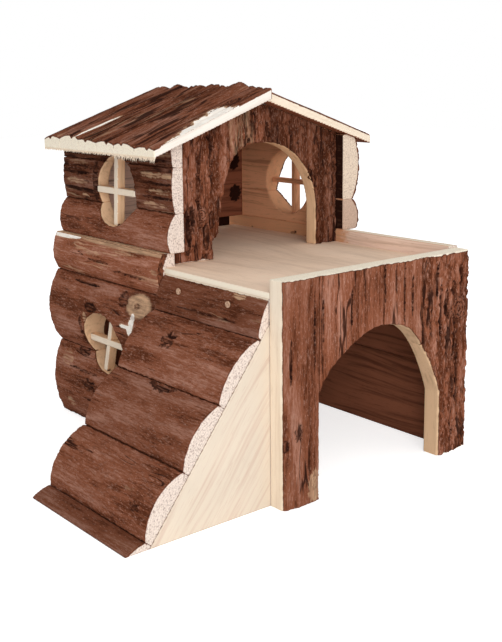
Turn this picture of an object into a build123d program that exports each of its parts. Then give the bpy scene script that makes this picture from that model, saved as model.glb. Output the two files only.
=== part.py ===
from build123d import *
import math
import os

# A two-storey rodent house of half-round bark slabs, with a ramp up to a plywood deck.
# Millimetres, +Z up. While it is built, x = 0, y = 0 is the front left corner of the lower
# front wall, x runs right and y runs back. At the end all pieces are moved together, so that
# the origin is the centre of the house's box on the floor.

# Lower storey
house_width = 185.0
house_depth = 287.0
front_wall_height = 153.5
kerb_above_front = 1.5
front_edge = 13.3
front_crown = 15.3
front_board_shares = (32.0, 61.0, 40.0, 52.0)
back_board_shares = (43.0, 38.0, 46.0, 35.8)
back_edge = 10.0
back_crown = 13.0

# Courses of the lower side walls
first_course_height = 62.5
left_inner = 9.2
left_edge = 11.5
left_crowns = (19.0, 21.5)
left_kerb_edge = 11.0
left_kerb_crown = 15.5
right_wall_inset = 13.0
right_edge = 12.0
right_crown = 20.0
right_furrows = (0.62, 0.38)
right_kerb_setback = 5.0
right_kerb_edge = 9.0
right_kerb_crown = 13.5

# Deck and what carries it
kerb_upstand = 10.3
deck_thickness = 4.0
rail_height = 17.2
batten_size = 12.0

# Ramp: a fascia slab under the deck's edge, then slabs down two triangular side boards
ramp_run = 96.0
ramp_depth = 117.7
side_board_thickness = 6.0
ramp_step_start = 12.0
ramp_step_shares = (48.8, 46.2, 46.8)
ramp_step_crowns = (11.0, 12.6, 14.2)
ramp_edge_low = 3.2
ramp_edge_high = 6.4
foot_slab_width = 42.0
foot_slab_seat = 2.6
foot_slab_crown = 14.6
fascia_belly = 1.6

# Upper house; its heights count from the kerbs' tops
upper_front = 127.0
gable_front = 133.0
gable_edge = 11.0
gable_crown = 12.6
gable_seam = 100.0
upper_back_setback = 3.0
back_wall_inset = 24.0
back_wall_edge = 9.0
back_wall_crown = 13.5
upper_left_inner = 15.5
upper_course_heights = (28.5, 33.5, 33.0)
upper_left_low_edges = (13.5, 8.6, 9.6)
upper_left_high_edges = (8.6, 9.6, 12.0)
upper_left_crowns = (15.5, 11.0, 11.5)
upper_right_course_heights = (25.5, 53.5)
upper_right_low_edges = (17.0, 12.5)
upper_right_high_edges = (12.5, 14.0)
upper_right_crowns = (19.0, 19.5)
upper_back_course_heights = (30.0, 33.0, 48.0)

# Roof. Its slabs taper: each row of edges and crowns is given at the eave and at the ridge,
# from the front to the back
ridge_x = 88.0
roof_rise = 38.5
eave_height = 71.0
left_eave_overhang = 18.5
right_eave_overhang = 29.0
roof_front = 112.5
roof_right_setback = 11.9
roof_short_of_walls = 14.5
roof_left_shares = (25.5, 27.0, 25.0, 26.0, 29.0, 24.5)
roof_right_shares = (28.0, 26.0, 27.0, 25.0, 26.5, 24.5)
roof_left_edges = ((5.5, 5.6, 7.0, 7.8, 9.3, 9.0, 7.5), (8.0, 8.2, 7.4, 7.4, 7.4, 6.8, 6.5))
roof_left_crowns = ((7.4, 8.4, 9.0, 9.2, 12.0, 10.2), (8.8, 12.8, 11.0, 10.4, 9.4, 9.2))
roof_right_edges = ((6.8, 6.4, 6.6, 6.2, 6.8, 6.4, 6.5), (8.0, 7.2, 7.0, 7.4, 7.0, 7.2, 6.6))
roof_right_crowns = ((9.0, 9.8, 9.6, 10.2, 10.6, 9.0), (10.0, 10.6, 11.2, 10.4, 11.0, 9.6))
roof_furrows = (0.36, 0.62, 0.4, 0.58, 0.34, 0.6)

# A furrow is a long crack in a slab's bark
furrow_width = 4.4
furrow_depth = 1.8

# Doorways: each stands between two posts and has a curve through hand-cut points, as the saw
# went. A point is a share of the doorway's width and a height, which for the lower one counts
# from the floor and for the upper one from the deck.
door_left_post = 31.8
door_right_post = 33.0
door_left_spring = 72.0
door_right_spring = 50.0
door_curve = ((0.05, 84.0), (0.26, 103.6), (0.36, 108.6), (0.52, 110.4), (0.69, 105.6), (0.867, 84.5))
gable_left_post = 38.5
gable_right_post = 24.5
gable_torn_width = 7.0
gable_torn_low = 14.0
gable_torn_high = 20.0
gable_door_spring = 33.3
gable_door_curve = ((0.056, 57.3), (0.188, 79.8), (0.396, 86.2), (0.708, 79.3), (0.909, 60.3))

# Round windows with crossed bars
upper_left_window_y = 202.5
upper_right_window_y = 197.5
upper_left_window_height = 39.5
upper_right_window_height = 35.0
lower_left_window = (206.0, 74.5)
upper_left_window_radius = 27.0
upper_right_window_radius = 28.0
lower_window_half_width = 28.0
lower_window_half_height = 24.5
bar_width = 5.0
upper_right_bar_width = 4.0
bar_depth = 7.0
lower_left_bar_reach = 13.2
upper_left_bar_reach = 10.5
upper_right_bar_inset = 7.0
upper_bar_tilt = 4.0
lower_bar_tilt = 15.0

# Nails that hold the fascia
nail_head_radius = 2.2
nail_head_height = 1.0
nail_shank_radius = 0.9
nail_tip_cover = 0.6
nail_hole_play = 0.05
nail_places = (35.5, 92.0)

# Places worked out from the sizes above
right_inner = house_width - right_wall_inset
kerb_right_inner = right_inner + right_kerb_setback
kerb_top = front_wall_height + kerb_above_front
deck_top = kerb_top - kerb_upstand
deck_under = deck_top - deck_thickness
ramp_front = front_edge
ramp_back = ramp_front + ramp_depth
left_wall_front = front_edge + side_board_thickness
kerb_left_front = ramp_back
back_wall_front = house_depth - back_crown
ramp_rise = deck_under - rail_height
course_bottoms = (0.0, first_course_height, ramp_rise)
course_heights = (first_course_height, ramp_rise - first_course_height)
nail_height = (ramp_rise + deck_under) / 2
upper_back = house_depth - upper_back_setback
back_wall_inner = upper_back - back_wall_inset
upper_left_window = (upper_left_window_y, kerb_top + upper_left_window_height)
upper_right_window = (upper_right_window_y, kerb_top + upper_right_window_height)
eave_left = -left_eave_overhang
eave_right = kerb_right_inner + right_eave_overhang
eave_under = kerb_top + eave_height
ridge_under = eave_under + roof_rise
roof_back = upper_back - roof_short_of_walls
slope_left = math.atan2(ridge_under - eave_under, ridge_x - eave_left)
slope_right = math.atan2(ridge_under - eave_under, eave_right - ridge_x)
ramp_angle = math.atan2(ramp_rise, ramp_run)
ramp_slope_length = math.hypot(ramp_rise, ramp_run)
far = 400.0
clearance = 1.0
roof_trim = 20.0

pieces = {}


def share_out(length, shares):
    """Splits a length in the proportions of the shares."""
    return [length * share / sum(shares) for share in shares]


def slab_section(width, low_edge, high_edge, crown, furrow):
    """A slab's cross-section: flat below, round on top, with a furrow at a share of its width."""

    def top(share, drop=0.0):
        ends = low_edge * (1 - share) * (1 - 2 * share) + high_edge * share * (2 * share - 1)
        return (share * width, ends + 4 * crown * share * (1 - share) - drop)

    flat = Polyline(top(0), (0, 0), (width, 0), top(1))
    if furrow is None:
        return make_face(flat + ThreePointArc(top(1), top(0.5), top(0)))
    high_bank = furrow + furrow_width / width / 2
    low_bank = furrow - furrow_width / width / 2
    high_round = ThreePointArc(top(1), top((1 + high_bank) / 2), top(high_bank))
    valley = Polyline(top(high_bank), top(furrow, furrow_depth), top(low_bank))
    low_round = ThreePointArc(top(low_bank), top(low_bank / 2), top(0))
    return make_face(flat + high_round + valley + low_round)


def half_round(width, low_edge, high_edge, crown, length, plane, furrow=None):
    """A slab with one flat side and one rounded side.

    In the plane, x goes across the slab and y goes out to the rounded side.
    The slab runs along the plane's normal.
    """
    return extrude(plane * slab_section(width, low_edge, high_edge, crown, furrow), length)


def block(x, y, z):
    """A box between two corners, given as a range along each axis."""
    size = Box(x[1] - x[0], y[1] - y[0], z[1] - z[0], align=(Align.MIN,) * 3)
    return Pos(x[0], y[0], z[0]) * size


def side_slab(side, inner, width, low_edge, high_edge, crown, y, bottom, furrow=None):
    """A level slab of a left (-1) or right (+1) wall, between two places along y."""
    start = y[1] if side < 0 else y[0]
    plane = Plane(origin=(inner, start, bottom), x_dir=(0, 0, 1), z_dir=(0, side, 0))
    return half_round(width, low_edge, high_edge, crown, y[1] - y[0], plane, furrow)


def window_tool(place, half_width, half_height):
    """A cutter along x through a side wall, round or oval."""
    plane = Plane(origin=(0, place[0], place[1]), x_dir=(0, 1, 0), z_dir=(1, 0, 0))
    return extrude(plane * Ellipse(half_width, half_height), far, both=True)


def window_bar(place, angle, x, opening, width):
    """One bar across a window, its ends shaped to the opening's rim."""
    bar = Box(x[1] - x[0], far, width)
    return Pos((x[0] + x[1]) / 2, place[0], place[1]) * Rot(angle, 0, 0) * bar & opening


def window_bars(name, place, x_low, tilt, opening, upright_nearer, width=bar_width):
    """A level and an upright bar, half-lapped where they cross."""
    x = (x_low, x_low + bar_depth)
    middle = x_low + bar_depth / 2
    level = window_bar(place, 0, x, opening, width)
    upright = window_bar(place, 90 + tilt, x, opening, width)
    crossing = level & upright
    nearer = crossing & block((x[0], middle), (-far, far), (-far, far))
    farther = crossing & block((middle, x[1]), (-far, far), (-far, far))
    pieces[f"{name}_bar_level"] = level - (nearer if upright_nearer else farther)
    pieces[f"{name}_bar_upright"] = upright - (farther if upright_nearer else nearer)


def doorway(outline, y):
    """A cutter through a wall along y, from an outline in x and z."""
    plane = Plane(origin=(0, y, 0), x_dir=(1, 0, 0), z_dir=(0, -1, 0))
    return extrude(plane * make_face(outline), front_crown, both=True)


def front_doorway():
    """The lower doorway: a long shoulder on the left and a rounder one on the right."""
    left = door_left_post
    right = house_width - door_right_post
    curve = [(left + share * (right - left), height) for share, height in door_curve]
    spring = (left, door_left_spring)
    landing = (right, door_right_spring)
    sides = Polyline(landing, (right, -clearance), (left, -clearance), spring)
    return doorway(Spline(spring, *curve, landing) + sides, front_edge)


def gable_doorway():
    """The upper doorway: its left post is torn narrower at its foot, its top is a low arch."""
    left = upper_left_inner + gable_left_post
    right = kerb_right_inner - gable_right_post
    curve = [(left + share * (right - left), deck_top + height) for share, height in gable_door_curve]
    spring = (left, deck_top + gable_door_spring)
    landing = (right, deck_top + gable_door_spring)
    below = deck_top - clearance
    torn = left - gable_torn_width
    foot = ((right, below), (torn, below), (torn, deck_top + gable_torn_low))
    sides = Polyline(landing, *foot, (left - clearance, deck_top + gable_torn_high), spring)
    return doorway(Spline(spring, *curve, landing) + sides, gable_front)


def above_roof_underside():
    """Everything over the roof's underside, to trim walls with."""
    outline = Polyline(
        (eave_left - far, eave_under - far * math.tan(slope_left)),
        (ridge_x, ridge_under),
        (eave_right + far, eave_under - far * math.tan(slope_right)),
        (eave_right + far, ridge_under + far),
        (eave_left - far, ridge_under + far),
        close=True,
    )
    plane = Plane(origin=(0, far, 0), x_dir=(1, 0, 0), z_dir=(0, -1, 0))
    return extrude(plane * make_face(outline), 2 * far)


def make_front_wall():
    """Upright bark boards side by side, with the doorway cut through them."""
    opening = front_doorway()
    x = 0.0
    for number, width in enumerate(share_out(house_width, front_board_shares), 1):
        plane = Plane(origin=(x, front_edge, front_wall_height), x_dir=(1, 0, 0), z_dir=(0, 0, -1))
        board = half_round(width, front_edge, front_edge, front_crown, front_wall_height, plane)
        pieces[f"front_wall_board_{number}"] = board - opening
        x += width


def make_left_wall():
    """Two long courses and a shorter kerb slab behind the ramp, with a window."""
    opening = window_tool(lower_left_window, lower_window_half_width, lower_window_half_height)
    for number in (1, 2):
        slab = side_slab(
            -1, left_inner, course_heights[number - 1], left_edge, left_edge, left_crowns[number - 1],
            (left_wall_front, house_depth), course_bottoms[number - 1],
        )
        pieces[f"left_wall_slab_{number}"] = slab - opening - over_ramp_slope()
    kerb_height = kerb_top - course_bottoms[2]
    pieces["left_kerb_slab"] = side_slab(
        -1, left_inner, kerb_height, left_kerb_edge, left_kerb_edge, left_kerb_crown,
        (kerb_left_front, house_depth), course_bottoms[2],
    )
    bar_place = left_inner - lower_left_bar_reach
    window_bars("lower_left_window", lower_left_window, bar_place, lower_bar_tilt, opening, False)


def make_right_wall():
    """Two long courses and a kerb slab, all from the front wall to the back."""
    for number in (1, 2):
        pieces[f"right_wall_slab_{number}"] = side_slab(
            1, right_inner, course_heights[number - 1], right_edge, right_edge, right_crown,
            (front_edge, house_depth), course_bottoms[number - 1], right_furrows[number - 1],
        )
    kerb_height = kerb_top - course_bottoms[2]
    pieces["right_kerb_slab"] = side_slab(
        1, kerb_right_inner, kerb_height, right_kerb_edge, right_kerb_edge, right_kerb_crown,
        (front_edge, house_depth), course_bottoms[2],
    )


def make_back_wall():
    """Upright boards between the lower side walls."""
    x = left_inner
    for number, width in enumerate(share_out(right_inner - left_inner, back_board_shares), 1):
        plane = Plane(origin=(x, back_wall_front, 0), x_dir=(1, 0, 0), z_dir=(0, 0, 1))
        board = half_round(width, back_edge, back_edge, back_crown, kerb_top, plane)
        pieces[f"back_wall_board_{number}"] = board
        x += width


def make_deck():
    """The plywood deck, the rail over the left wall by the ramp, and two battens."""
    sheet = block((0, kerb_right_inner), (front_edge, back_wall_front), (deck_under, deck_top))
    kerb_strip = block((-far, left_inner), (kerb_left_front, far), (0, far))
    pieces["deck"] = sheet - kerb_strip
    pieces["deck_rail"] = block((0, left_inner), (front_edge, kerb_left_front), (ramp_rise, deck_under))
    batten_z = (deck_under - batten_size, deck_under)
    batten_y = (front_edge, back_wall_front)
    pieces["deck_batten_left"] = block((left_inner, left_inner + batten_size), batten_y, batten_z)
    pieces["deck_batten_right"] = block(
        (kerb_right_inner - batten_size, kerb_right_inner), batten_y, batten_z
    )


def ramp_plane(distance):
    """A plane on the ramp's slope: x down the slope, y out of it, z towards the back."""
    down = (-math.cos(ramp_angle), 0, -math.sin(ramp_angle))
    origin = (distance * down[0], ramp_front, ramp_rise + distance * down[2])
    return Plane(origin=origin, x_dir=down, z_dir=(0, 1, 0))


def over_ramp_slope():
    """The space over the ramp's slope, where the left wall is planed back for the ramp."""
    return extrude(ramp_plane(0) * Rectangle(far, far, align=(Align.CENTER, Align.MIN)), ramp_depth)


def side_board(y, right):
    """A triangular board under the ramp's slabs."""
    outline = Polyline((-ramp_run, 0), (right, 0), (right, ramp_rise), (0, ramp_rise), close=True)
    plane = Plane(origin=(0, y + side_board_thickness, 0), x_dir=(1, 0, 0), z_dir=(0, -1, 0))
    return extrude(plane * make_face(outline), side_board_thickness)


def make_ramp():
    """Side boards, three steps of half-round slab, the foot slab, and the fascia with its nails."""
    pieces["ramp_side_board_front"] = side_board(ramp_front, left_inner)
    back_board = side_board(ramp_back - 2 * side_board_thickness, left_inner)
    for number in (1, 2):
        back_board -= pieces[f"left_wall_slab_{number}"]
    scribed = block((-far, left_inner - left_edge), (0, far), (0, far))
    pieces["ramp_side_board_back"] = (back_board & scribed).solids().sort_by(SortBy.VOLUME)[-1]

    below_floor = block((-far, far), (0, far), (-far, 0))
    distance = ramp_step_start
    edges = (ramp_edge_low, ramp_edge_high, ramp_edge_high, ramp_edge_high)
    steps_length = ramp_slope_length - ramp_step_start - foot_slab_seat
    for number, width in enumerate(share_out(steps_length, ramp_step_shares)):
        slab = half_round(
            width, edges[number], edges[number + 1], ramp_step_crowns[number],
            ramp_depth, ramp_plane(distance),
        )
        pieces[f"ramp_step_{number + 1}"] = slab
        distance += width
    foot = half_round(
        foot_slab_width, ramp_edge_high, ramp_edge_high, foot_slab_crown,
        ramp_depth, ramp_plane(distance),
    )
    pieces["ramp_foot_slab"] = foot - below_floor

    # The fascia's lower edge stands on the first step and on the slope
    slope = ramp_plane(ramp_step_start)
    corner = slope.from_local_coords(Vector(0, 0, 0))
    tip = slope.from_local_coords(Vector(0, ramp_edge_low, 0))
    middle = (tip.X / 2 - fascia_belly, (deck_under + tip.Z) / 2 + fascia_belly)
    outline = Polyline((tip.X, tip.Z), (corner.X, corner.Z), (0, ramp_rise), (0, deck_under))
    belly = ThreePointArc((0, deck_under), middle, (tip.X, tip.Z))
    plane = Plane(origin=(0, ramp_back, 0), x_dir=(1, 0, 0), z_dir=(0, -1, 0))
    pieces["ramp_fascia"] = extrude(plane * make_face(outline + belly), ramp_depth)


def nail(axis, length, play):
    """A wire nail with a flat head outside the axis plane, or with some play the hole for it."""
    shank = extrude(axis * Circle(nail_shank_radius + play), length + play)
    head = extrude(axis * Circle(nail_head_radius + play), -nail_head_height)
    return shank + head


def make_nails():
    """Two nails through the fascia into the deck rail, as one group."""
    fascia = pieces["ramp_fascia"]
    level = block((-far, far), (ramp_front, ramp_back), (nail_height, nail_height + nail_head_height))
    seat = (fascia & level).bounding_box().min.X
    length = left_inner - nail_tip_cover - seat
    nails = []
    for distance in nail_places:
        axis = Plane(origin=(seat, ramp_front + distance, nail_height), x_dir=(0, 1, 0), z_dir=(1, 0, 0))
        nails.append(nail(axis, length, 0))
        for name in ("ramp_fascia", "deck_rail"):
            pieces[name] -= nail(axis, length, nail_hole_play)
    pieces["fascia_nails"] = Compound(children=nails)


def make_upper_side_walls(above):
    """Level slabs on the kerbs, with a round window on each side."""
    window = window_tool(upper_left_window, upper_left_window_radius, upper_left_window_radius)
    bottom = kerb_top
    for number, height in enumerate(upper_course_heights, 1):
        slab = side_slab(
            -1, upper_left_inner, height, upper_left_low_edges[number - 1],
            upper_left_high_edges[number - 1], upper_left_crowns[number - 1],
            (upper_front, upper_back), bottom,
        )
        cut = slab - window - above
        halves = cut.solids().sort_by(Axis.Y)
        if len(halves) == 1:
            pieces[f"upper_left_slab_{number}"] = cut
        else:
            pieces[f"upper_left_slab_{number}_front"] = halves[0]
            pieces[f"upper_left_slab_{number}_back"] = halves[-1]
        bottom += height
    bar_place = upper_left_inner - upper_left_bar_reach
    window_bars("upper_left_window", upper_left_window, bar_place, upper_bar_tilt, window, True)

    window = window_tool(upper_right_window, upper_right_window_radius, upper_right_window_radius)
    bottom = kerb_top
    for number, height in enumerate(upper_right_course_heights, 1):
        slab = side_slab(
            1, kerb_right_inner, height, upper_right_low_edges[number - 1],
            upper_right_high_edges[number - 1], upper_right_crowns[number - 1],
            (upper_front, upper_back), bottom,
        )
        pieces[f"upper_right_slab_{number}"] = slab - window - above
        bottom += height
    bar_place = kerb_right_inner + upper_right_bar_inset
    width = upper_right_bar_width
    window_bars("upper_right_window", upper_right_window, bar_place, 0, window, False, width)


def make_gable(above):
    """Two upright boards that stand on the deck, with the doorway between them."""
    opening = gable_doorway()
    back = gable_front + gable_crown
    height = ridge_under - deck_top
    sides = ((upper_left_inner, gable_seam), (gable_seam, kerb_right_inner))
    for number, (left, right) in enumerate(sides, 1):
        plane = Plane(origin=(left, back, ridge_under), x_dir=(1, 0, 0), z_dir=(0, 0, -1))
        board = half_round(right - left, gable_edge, gable_edge, gable_crown, height, plane)
        pieces[f"gable_board_{number}"] = board - opening - above


def make_upper_back_wall(above):
    """Level slabs between the side walls, a little clear of the deck."""
    bottom = kerb_top
    for number, height in enumerate(upper_back_course_heights, 1):
        plane = Plane(origin=(kerb_right_inner, back_wall_inner, bottom), x_dir=(0, 0, 1), z_dir=(-1, 0, 0))
        length = kerb_right_inner - upper_left_inner
        slab = half_round(height, back_wall_edge, back_wall_edge, back_wall_crown, length, plane)
        pieces[f"upper_back_slab_{number}"] = slab - above
        bottom += height


def roof_half(side, front, eave, shares, edges, crowns):
    """The left (-1) or right (+1) half of the roof, its slabs cut plumb at the eave and the ridge."""
    angle = slope_left if side < 0 else slope_right
    down = Vector(side * math.cos(angle), 0, -math.sin(angle))
    half = block(sorted((eave, ridge_x)), (0, far), (0, far))
    slope_length = abs(eave - ridge_x) / math.cos(angle)
    slabs = []
    y = front
    for number, width in enumerate(share_out(roof_back - front, shares)):
        start = y + width if side < 0 else y
        sections = []
        for low_end, distance in enumerate((slope_length + roof_trim, -roof_trim)):
            origin = Vector(ridge_x, start, ridge_under) + down * distance
            plane = Plane(origin=origin, x_dir=(0, side, 0), z_dir=down)
            bounds = edges[low_end][number:number + 2]
            low_edge, high_edge = bounds[::side]
            furrow = roof_furrows[number] if side > 0 else 1 - roof_furrows[number]
            section = slab_section(width, low_edge, high_edge, crowns[low_end][number], furrow)
            sections.append(plane * section)
        slabs.append(loft(sections, ruled=True) & half)
        y += width
    return slabs


def make_roof():
    """Half-round slabs that slope up to the ridge on both sides."""
    left = roof_half(-1, roof_front, eave_left, roof_left_shares, roof_left_edges, roof_left_crowns)
    right_front = roof_front + roof_right_setback
    right = roof_half(1, right_front, eave_right, roof_right_shares, roof_right_edges, roof_right_crowns)
    for name, slabs in (("left", left), ("right", right)):
        for number, slab in enumerate(slabs, 1):
            pieces[f"roof_{name}_slab_{number}"] = slab


def export_pieces():
    """Moves the whole house so that its box is centred over the origin, and writes each piece."""
    bounds = Compound(children=[Compound(piece.solids()) for piece in pieces.values()]).bounding_box()
    middle = bounds.center()
    os.makedirs("parts", exist_ok=True)
    for name, piece in pieces.items():
        moved = Compound([solid.moved(Location((-middle.X, -middle.Y, 0))) for solid in piece.solids()])
        single = len(moved.solids()) == 1
        export_step(moved.solids()[0] if single else moved, f"parts/{name}.step")
    print("size", bounds.size, "moved by", -middle.X, -middle.Y)


make_front_wall()
make_left_wall()
make_right_wall()
make_back_wall()
make_deck()
make_ramp()
make_nails()
above_roof = above_roof_underside()
make_upper_side_walls(above_roof)
make_gable(above_roof)
make_upper_back_wall(above_roof)
make_roof()
export_pieces()
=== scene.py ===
"""The looks of a two-storey rodent house: rough bark slabs, sawn wood, plywood and a plain studio."""
import math
from collections import namedtuple

import bmesh
import bpy
import numpy as np
from bpy.props import FloatProperty, FloatVectorProperty, PointerProperty
from mathutils import Matrix, Vector
from mathutils.bvhtree import BVHTree


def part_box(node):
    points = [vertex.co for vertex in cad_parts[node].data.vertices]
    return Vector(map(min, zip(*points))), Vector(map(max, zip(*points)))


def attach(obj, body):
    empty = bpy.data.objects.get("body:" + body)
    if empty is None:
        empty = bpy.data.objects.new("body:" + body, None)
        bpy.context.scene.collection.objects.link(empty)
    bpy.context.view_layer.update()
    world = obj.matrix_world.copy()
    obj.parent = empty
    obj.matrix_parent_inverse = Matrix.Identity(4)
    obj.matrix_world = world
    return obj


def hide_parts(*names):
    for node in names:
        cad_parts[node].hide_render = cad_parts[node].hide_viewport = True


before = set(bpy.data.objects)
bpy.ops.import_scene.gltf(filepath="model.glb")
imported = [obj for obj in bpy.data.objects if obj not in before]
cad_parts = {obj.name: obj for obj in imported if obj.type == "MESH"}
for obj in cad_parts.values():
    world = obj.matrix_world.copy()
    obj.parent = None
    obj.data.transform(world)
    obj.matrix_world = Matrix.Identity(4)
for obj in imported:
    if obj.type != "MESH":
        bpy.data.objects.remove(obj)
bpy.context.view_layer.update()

bl_info = {
    "name": "Bark Rodent House",
    "version": (1, 0, 0),
    "blender": (4, 5, 0),
    "location": "3D View > Sidebar > Bark House",
    "description": "Bark, sawn wood and studio for a two-storey rodent house",
    "category": "Object",
}

MM = 0.001

# The lowest point of the house, below which no bark is moved
FLOOR_HEIGHT = min(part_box(node)[0].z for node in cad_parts)

# How far a slab's face turns outwards to count as bark, inwards to count as its flat side, along the
# grain to count as an end, and across it to count as a sawn side
BARK_LIMIT, INNER_LIMIT, END_LIMIT, SIDE_LIMIT = 0.42, 0.7, 0.8, 0.95

# A cut across the grain counts as a slab's end up to this far from its very end
END_REACH = 4 * MM

# How deep under the bark the painted shade of the joint between two slabs reaches, and how close the other
# slab is
JOINT_DEPTH = 3 * MM
JOINT_REACH = 2 * MM

# A cut counts as a window's up to this share of its rim's radius, squared
WINDOW_MARGIN = 1.1

# How far the front wall's bark bulges over its corners, in millimetres
FRONT_BULGE = 2.0

# Bark sunk this much by its grooves and plates gets the darkest colour of its grooves: partly the bark's own
# darker furrows, partly painted shade in them
FULL_WEAR_AND_SHADE = 1.6 * MM

# One layer of the plywood deck
PLY_THICKNESS = 1.3 * MM

# The growth rings in the sawn ends: how wide they are and how far below a slab their heart lies
RING_WIDTH = 1.7 * MM
HEART_DEPTH = 18 * MM

# The photograph's size, its lens and the centre of its view in pixels, and its camera's place, which
# counts in millimetres as a mark's does
IMAGE_WIDTH, IMAGE_HEIGHT = 502, 642
FOCAL_LENGTH_PX = 1006.4
PRINCIPAL_POINT_PX = (275.1, 259.9)
CAMERA_PLACE = (-405.56, -467.32, 278.44)

# The middle of the house, where the lights point
LIT_PLACE = Vector((0, 0, 0.11))

# The colour of the background and of the floor's glow
WHITE = (1.0, 1.0, 1.0, 1.0)

# Directions in the house's frame: the front looks along -Y and the ramp goes down towards -X
LEFT, RIGHT = Vector((-1, 0, 0)), Vector((1, 0, 0))
FRONT, BACK = Vector((0, -1, 0)), Vector((0, 1, 0))
UP, DOWN = Vector((0, 0, 1)), Vector((0, 0, -1))

# How rough a slab's bark is. Lengths are in millimetres and count inwards from the slab's round side:
# spacing of the grooves, depths of grooves, cracks, plates, fibres and swells, and size of the plates.
# Stretch is how much longer than wide a groove is. Flakes, lines and veins are strengths.
Bark = namedtuple(
    "Bark", "spacing stretch groove crack plate_size plate fibre swell flakes lines veins",
    defaults=(5.0, 10.0, 0.5, 0.5, 12.0, 0.05, 0.3, 1.2, 0.6, 0.9, 0.0),
)
FIBROUS = Bark(spacing=4.5, stretch=12.0, groove=0.4, swell=1.0, flakes=0.8, lines=0.35)
CRACKED = Bark(groove=0.6, crack=1.2, plate=0.1, fibre=0.35, flakes=0.7)
FURROWED = Bark(
    stretch=4.0, groove=1.4, crack=1.8, plate_size=6.0, plate=0.9, fibre=0.6, swell=1.6, flakes=1.2,
    lines=0.7,
)
SCALY = Bark(stretch=7.0, crack=0.4, plate_size=8.0, plate=0.15, fibre=0.35, flakes=1.0, lines=0.25)
SMOOTH = Bark(
    spacing=6.0, groove=0.2, crack=0.2, plate_size=14.0, plate=0.0, fibre=0.2, swell=0.7, flakes=0.4,
    lines=0.15, veins=0.55,
)
STREAKED = Bark(
    spacing=4.0, groove=0.9, crack=1.1, plate_size=14.0, plate=0.1, fibre=0.4, flakes=0.4, veins=0.9,
)
GROOVED = Bark(stretch=16.0, groove=0.6, crack=0.9, plate_size=16.0, swell=0.4, lines=1.0, veins=0.5)
PLANED = Bark(groove=0.0, crack=0.0, plate=0.0, fibre=0.0, swell=0.0, flakes=0.0, lines=0.0)

# A mark on a slab: a knot, a hollow, a chip or a crack. The place counts in millimetres from the foot
# of the front wall's left corner, the radii run along and across the grain, and height is out of the
# surface, in millimetres. Bare, dark and rings are strengths. Points make its outline a star, ragged
# makes it uneven, and wander bends it sideways, in millimetres.
Mark = namedtuple(
    "Mark", "place along across height bare dark rings points ragged wander",
    defaults=(0, 0, 0, 0, 0, 0.8, 0),
)
CRACK_HALF_WIDTH = 0.75


def knot(x, y, z, along, across):
    """A flat knot with growth rings."""
    return Mark((x, y, z), along, across, dark=0.4, rings=1.0, ragged=0.6)


def hollow(x, y, z, along, across):
    """A deep, dark and uneven hollow."""
    return Mark((x, y, z), along, across, height=-1.6, dark=0.9, ragged=1.4)


def star(x, y, z, along, across):
    """A dark scar with rays."""
    return Mark((x, y, z), along, across, height=-0.8, dark=0.9, points=0.35, ragged=1.2)


def dark_knot(x, y, z, along, across):
    """A dark knot in a flat inner side."""
    return Mark((x, y, z), along, across, height=-0.4, dark=2.0, ragged=1.3)


def crack(x, y, z, along, wander=1.5):
    """A thin dark crack along the grain."""
    return Mark((x, y, z), along, CRACK_HALF_WIDTH, height=-1.4, dark=1.0, ragged=0.6, wander=wander)


def chip(x, y, z, along, across, bare=1.0, ragged=1.3):
    """A place where the bark has come off: tan under 0.8, white at 1."""
    return Mark((x, y, z), along, across, height=-0.5, bare=bare, ragged=ragged)


def painted_light_patch(x, y, z, along, across):
    """A painted pool of light: a paler area of a flat inner side."""
    return Mark((x, y, z), along, across, bare=0.95, ragged=0.3)


def painted_shade(x, y, z, along, across, dark, ragged=0.8):
    """Painted shade: a dark area of a flat inner side that stands in for a shadow."""
    return Mark((x, y, z), along, across, dark=dark, ragged=ragged)


def sawn_branch(x, y, z, along, across):
    """The sawn stub of a branch: bare wood with rings."""
    return Mark((x, y, z), along, across, bare=0.8, dark=0.4, rings=0.5, ragged=0.3)


# What a user can change


def tint(name, description, *rgb):
    """A colour that a user can change."""
    return FloatVectorProperty(
        name=name, description=description, subtype="COLOR", size=3, min=0.0, max=1.0, default=rgb,
    )


class BarkSettings(bpy.types.PropertyGroup):
    """Colours of the bark and how finely its relief is cut."""

    # Also the colour of the painted shade marks
    groove: tint("Groove", "Colour in the bark's grooves and cracks", 0.026, 0.009, 0.006)
    shade: tint("Shade", "Colour of the bark's darker fibres", 0.105, 0.030, 0.013)
    body: tint("Body", "Main colour of the bark", 0.245, 0.083, 0.043)
    flake: tint("Flake", "Colour of the thin pinkish flakes and rubbed ridges", 0.480, 0.245, 0.175)
    bare: tint("Bare wood", "Colour of the wood where the bark has come off", 0.640, 0.410, 0.250)
    mesh_size: FloatProperty(
        name="Mesh size", description="Edge length of the fine mesh that carries the relief",
        unit="LENGTH", min=0.0005, max=0.005, default=0.9 * MM,
    )


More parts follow.
